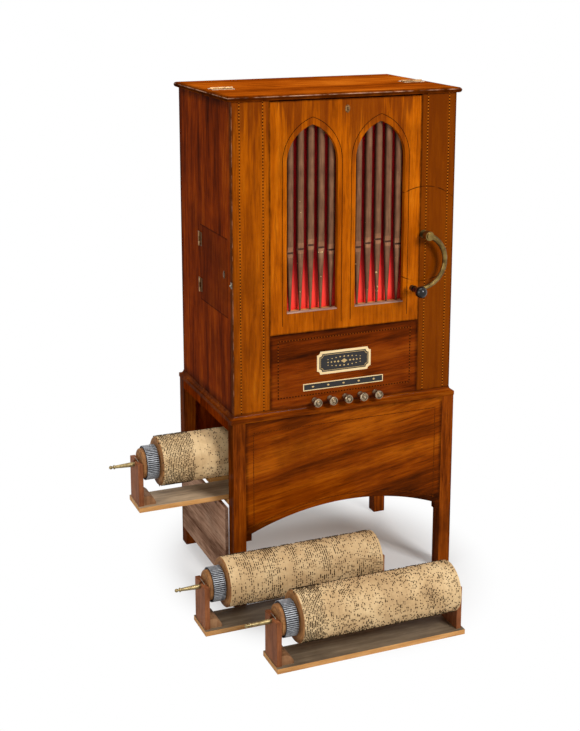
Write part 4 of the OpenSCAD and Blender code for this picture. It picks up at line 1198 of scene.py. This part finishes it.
POST_TOP = 0.136
POSTS_IN = (0.009, 0.014)
KEEPER_HALF = 0.017
KEEPER_SUNK = 0.004
KEEPER_GAP = 0.0012
KEEPER_RISE = 0.0022
KEEPER_STEPS = 8
WIRE_R = 0.0011
for unit in SETS:
    name = f"{unit}_keepers"
    shape = bmesh.new()
    low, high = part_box(f"{unit}_cradle")
    middle = (low.y + high.y) / 2
    top = low.z + POST_TOP
    for post_x in (low.x + POSTS_IN[0], high.x - POSTS_IN[1]):
        loop = [(post_x, middle - KEEPER_HALF, top - KEEPER_SUNK)]
        for k in range(KEEPER_STEPS + 1):
            turn = math.pi * k / KEEPER_STEPS
            loop.append((post_x, middle - KEEPER_HALF * math.cos(turn),
                         top + KEEPER_GAP + KEEPER_RISE * math.sin(turn)))
        loop.append((post_x, middle + KEEPER_HALF, top - KEEPER_SUNK))
        tube(shape, loop, WIRE_R)
    piece(name, finished(shape, name), f"{unit}_cradle", steel_wire, slot="hinge_brass")


def screw_maker():
    """Countersunk screw heads with slots of painted shade at the points of a mesh, turned by an attribute.
    """
    maker = Maker("screws", {"Radius": "NodeSocketFloat", "Head": "NodeSocketFloat",
                             "Brass": "NodeSocketMaterial", "SlotShade": "NodeSocketMaterial"})
    wide = maker.given("Radius")
    high = maker.given("Head")
    head = maker.node("GeometryNodeMeshCone", {"fill_type": "NGON"},
                      {"Vertices": 14, "Radius Top": wide * 0.86, "Radius Bottom": wide, "Depth": high})
    # A dark block of painted shade stands for the slot.
    cut = maker.cube(maker.join(wide * 1.5, wide * 0.28, high * 0.4))
    cut = maker.moved(cut, Translation=maker.join(0.0, 0.0, high * 0.86))
    turn = maker.node("GeometryNodeInputNamedAttribute", {"data_type": "FLOAT_VECTOR"}, {"Name": "turn"})
    maker.close(*(maker.laid(maker.given("Geometry"), shape, turn, key)
                  for shape, key in ((head, "Brass"), (cut, "SlotShade"))))
    return maker


SCREWS = screw_maker()
SCREW_HEAD = 0.0005
LID_SCREW = 0.0019
DOOR_SCREW = 0.0016
LEFT = -math.pi / 2
SLOT_TURN = 0.7


def screws(name, body, seats, radius, tip=0.0):
    """Screw heads at seats. They point up, or where a turn by tip about Y takes them."""
    mesh = bpy.data.meshes.new("seats")
    mesh.from_pydata(seats, [], [])
    turn = mesh.attributes.new("turn", "FLOAT_VECTOR", "POINT")
    for number in range(len(seats)):
        turn.data[number].vector = (0.0, tip, 0.0 if tip else SLOT_TURN * number)
    made = SCREWS.run(name, mesh, {"Radius": radius, "Head": SCREW_HEAD, "Brass": hinge_brass,
                                   "SlotShade": shadow_dark})
    piece(name, made, body, slot="hinge_brass")


LEAF_TOP = 1.4512
LEAF_SIDE = -CASE - 0.0012
LID_SEATS = [start + 0.010 + 0.023 * k for start in (-0.328, 0.262) for k in range(3)]
DOOR_SEATS = [start + 0.008 + 0.012 * k for start in (0.860, 0.996) for k in range(3)]
for name, body, y in (("lid_fixed_screws", "case", -0.016), ("lid_flap_screws", "lid_flap", -0.0445)):
    screws(name, body, [(x, y, LEAF_TOP) for x in LID_SEATS], LID_SCREW)
for name, body, y in (("door_fixed_screws", "case", 0.057), ("door_leaf_screws", "side_door", 0.0365)):
    screws(name, body, [(LEAF_SIDE, y, z) for z in DOOR_SEATS], DOOR_SCREW, LEFT)


# Bellows leathers

def leather_finish():
    """Pale sheepskin: grain, creases and handling dirt."""
    finish = Finish("bellows leather", Specular_IOR_Level=0.3)
    point = finish.place()
    grain = finish.node("ShaderNodeTexVoronoi", {"feature": "DISTANCE_TO_EDGE"},
                        {"Vector": point, "Scale": 420.0})
    cloud = finish.noise(point, 18.0, 5.0, 0.62)
    colour = finish.three_tones(cloud, srgb(170, 146, 112), srgb(206, 186, 152), srgb(226, 210, 180))
    return finish.done(colour, cloud * 0.2 + 0.55, grain, 0.25, 0.0004)


LEATHER = leather_finish()
LEATHER_THICK = 0.0012


def folded_wall(name, path, top, depth_at, folds, tuck):
    """A pleated leather wall. path holds (x, y, inward x, inward y); depth_at gives how far it hangs."""
    points = []
    rows = 2 * folds
    for x, y, in_x, in_y in path:
        depth = depth_at(x)
        reach = min(tuck, abs(depth) * 0.35)
        for row in range(rows + 1):
            pull = reach if row % 2 else 0.0
            points.append((x + in_x * pull, y + in_y * pull, top - depth * row / rows))
    step = rows + 1
    faces = [(k * step + row, (k + 1) * step + row, (k + 1) * step + row + 1, k * step + row + 1)
             for k in range(len(path) - 1) for row in range(rows)]
    mesh = bpy.data.meshes.new(name)
    mesh.from_pydata(points, [], faces)
    return thickened(mesh, LEATHER_THICK)


def three_sides(x0, x1, half, steps=24, end_steps=12):
    """Path along the front, across the right end and back again, with inward directions."""
    front = [(x0 + (x1 - x0) * k / steps, -half, 0.0, 1.0) for k in range(steps)]
    back = [(x, half, 0.0, -1.0) for x, _, _, _ in reversed(front)]
    end = [(x1, half * (2 * k / end_steps - 1), -1.0, 0.0) for k in range(1, end_steps)]
    return [*front, (x1, -half, -0.7, 0.7), *end, (x1, half, -0.7, -0.7), *back]


FEEDER_X = -0.264
FEEDER_SPAN = (FEEDER_X + 0.014, FEEDER_X + 0.404)
FEEDER_HALF = 0.118
FEEDER_GAP = 0.0040
FEEDER_FOLDS = 3
FEEDER_TUCK = 0.014
MIDDLE_LOW = 0.650
GLUED_AT = MIDDLE_LOW - 0.0008
DROP = math.sin(math.radians(6.5))
feeder = folded_wall("feeder_leather", three_sides(*FEEDER_SPAN, FEEDER_HALF), GLUED_AT,
                     lambda x: FEEDER_GAP + (x - FEEDER_X) * DROP, FEEDER_FOLDS, FEEDER_TUCK)
feeder_leather = piece("feeder_leather", feeder, "case", LEATHER, slot="leather")
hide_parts("feeder_folds")
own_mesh(feeder_leather)
RESERVOIR_LOW = 0.662
RESERVOIR_HIGH = 0.674
RESERVOIR_SPAN = (-0.282, 0.182)
RESERVOIR_HALF = 0.140
RESERVOIR_GAP = 0.0006
RESERVOIR_TUCK = 0.020
RESERVOIR_SHIFT = (0.0, -0.0165, 0.0)
RESERVOIR_DEEP = RESERVOIR_HIGH - RESERVOIR_LOW - 2 * RESERVOIR_GAP
reservoir = folded_wall("reservoir_leather", three_sides(*RESERVOIR_SPAN, RESERVOIR_HALF),
                        RESERVOIR_HIGH - RESERVOIR_GAP, lambda x: RESERVOIR_DEEP, 1, RESERVOIR_TUCK)
reservoir.transform(Matrix.Translation(RESERVOIR_SHIFT))
reservoir_leather = linked("reservoir_leather", reservoir)
reservoir.materials.append(LEATHER)
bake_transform(reservoir_leather)
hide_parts("reservoir_folds")


# Camera, floor and light

def view_camera():
    eye = Vector((-1.503, -3.479, 1.810))
    yaw = math.radians(22.29)
    pitch = math.radians(12.54)
    data = bpy.data.cameras.new("camera")
    data.sensor_width = 36.0
    data.sensor_fit = "AUTO"
    data.lens = 64.83
    data.shift_y = -0.16
    data.clip_end = 60.0
    camera = linked("camera", data)
    camera.location = eye
    camera.rotation_euler = (math.pi / 2 - pitch, 0.0, -yaw)
    bpy.context.scene.camera = camera


def rays(graph, *kinds):
    """1 for rays of these kinds."""
    path = graph.tree.nodes.new("ShaderNodeLightPath")
    return sum(Value(graph, path.outputs[f"Is {kind} Ray"]) for kind in kinds)


WHITE = (1.0, 1.0, 1.0, 1.0)
FLOOR_GREY = (0.76, 0.76, 0.76, 1.0)
FLOOR_REACH = 20.0
FLOOR_Z = -0.0003
SHADED_TO = (0.31, 0.64)


def pale_floor():
    """White floor: it takes shadows near the stand, and is plain white for the camera farther out."""
    material = bpy.data.materials.new("floor white")
    material.use_nodes = True
    graph = Graph(material.node_tree)
    graph.tree.nodes.clear()
    point = graph.node("ShaderNodeTexCoord", {}, {}, "Object")
    place = graph.node("ShaderNodeMapping", {}, {"Vector": point, "Location": (0.0, 0.05, 0.0),
                                                 "Scale": (1.2, 1.0, 1.0)})
    away = graph.node("ShaderNodeVectorMath", {"operation": "LENGTH"}, {0: place}, 1)
    share = rays(graph, "Camera", "Glossy") * graph.step(away, *SHADED_TO)
    matt = graph.node("ShaderNodeBsdfDiffuse", {}, {"Color": FLOOR_GREY})
    bright = graph.node("ShaderNodeEmission", {}, {"Color": WHITE, "Strength": 1.0})
    both = graph.node("ShaderNodeMixShader", {}, {0: share, 1: matt, 2: bright})
    out = graph.tree.nodes.new("ShaderNodeOutputMaterial")
    graph.tree.links.new(both.socket, out.inputs[0])
    mesh = bpy.data.meshes.new("floor")
    corners = [(sx * FLOOR_REACH, sy * FLOOR_REACH, FLOOR_Z)
               for sx, sy in ((-1, -1), (1, -1), (1, 1), (-1, 1))]
    mesh.from_pydata(corners, [], [(0, 1, 2, 3)])
    mesh.materials.append(material)
    floor = linked("floor", mesh)
    floor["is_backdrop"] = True


SKY_LIGHT = 0.21


def white_world():
    """White where it is seen, and a weak light elsewhere."""
    world = bpy.data.worlds.new("studio")
    bpy.context.scene.world = world
    world.use_nodes = True
    graph = Graph(world.node_tree)
    sky = graph.tree.nodes["Background"]
    sky.inputs["Color"].default_value = WHITE
    seen = rays(graph, "Camera", "Glossy", "Transmission")
    graph.feed(sky.inputs["Strength"], seen * (1.0 - SKY_LIGHT) + SKY_LIGHT)


AIM = Vector((0.0, 0.0, 0.8))


def softbox(name, place, size, power):
    """An area light that looks at the case."""
    data = bpy.data.lights.new(name, "AREA")
    data.shape = "RECTANGLE"
    data.size, data.size_y = size
    data.energy = power
    lamp = linked(name, data)
    lamp.location = place
    lamp.rotation_euler = (AIM - Vector(place)).to_track_quat("-Z", "Y").to_euler()


bpy.context.scene.view_settings.view_transform = "Standard"
view_camera()
pale_floor()
white_world()
softbox("key softbox", (1.4, -3.6, 2.9), (1.3, 1.3), 160.0)
softbox("top softbox", (-0.4, 0.2, 3.6), (2.4, 2.4), 60.0)
softbox("back softbox", (1.6, 3.6, 2.2), (2.0, 2.0), 36.0)
softbox("left softbox", (-3.6, -1.6, 1.8), (1.6, 2.2), 40.0)

low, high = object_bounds()
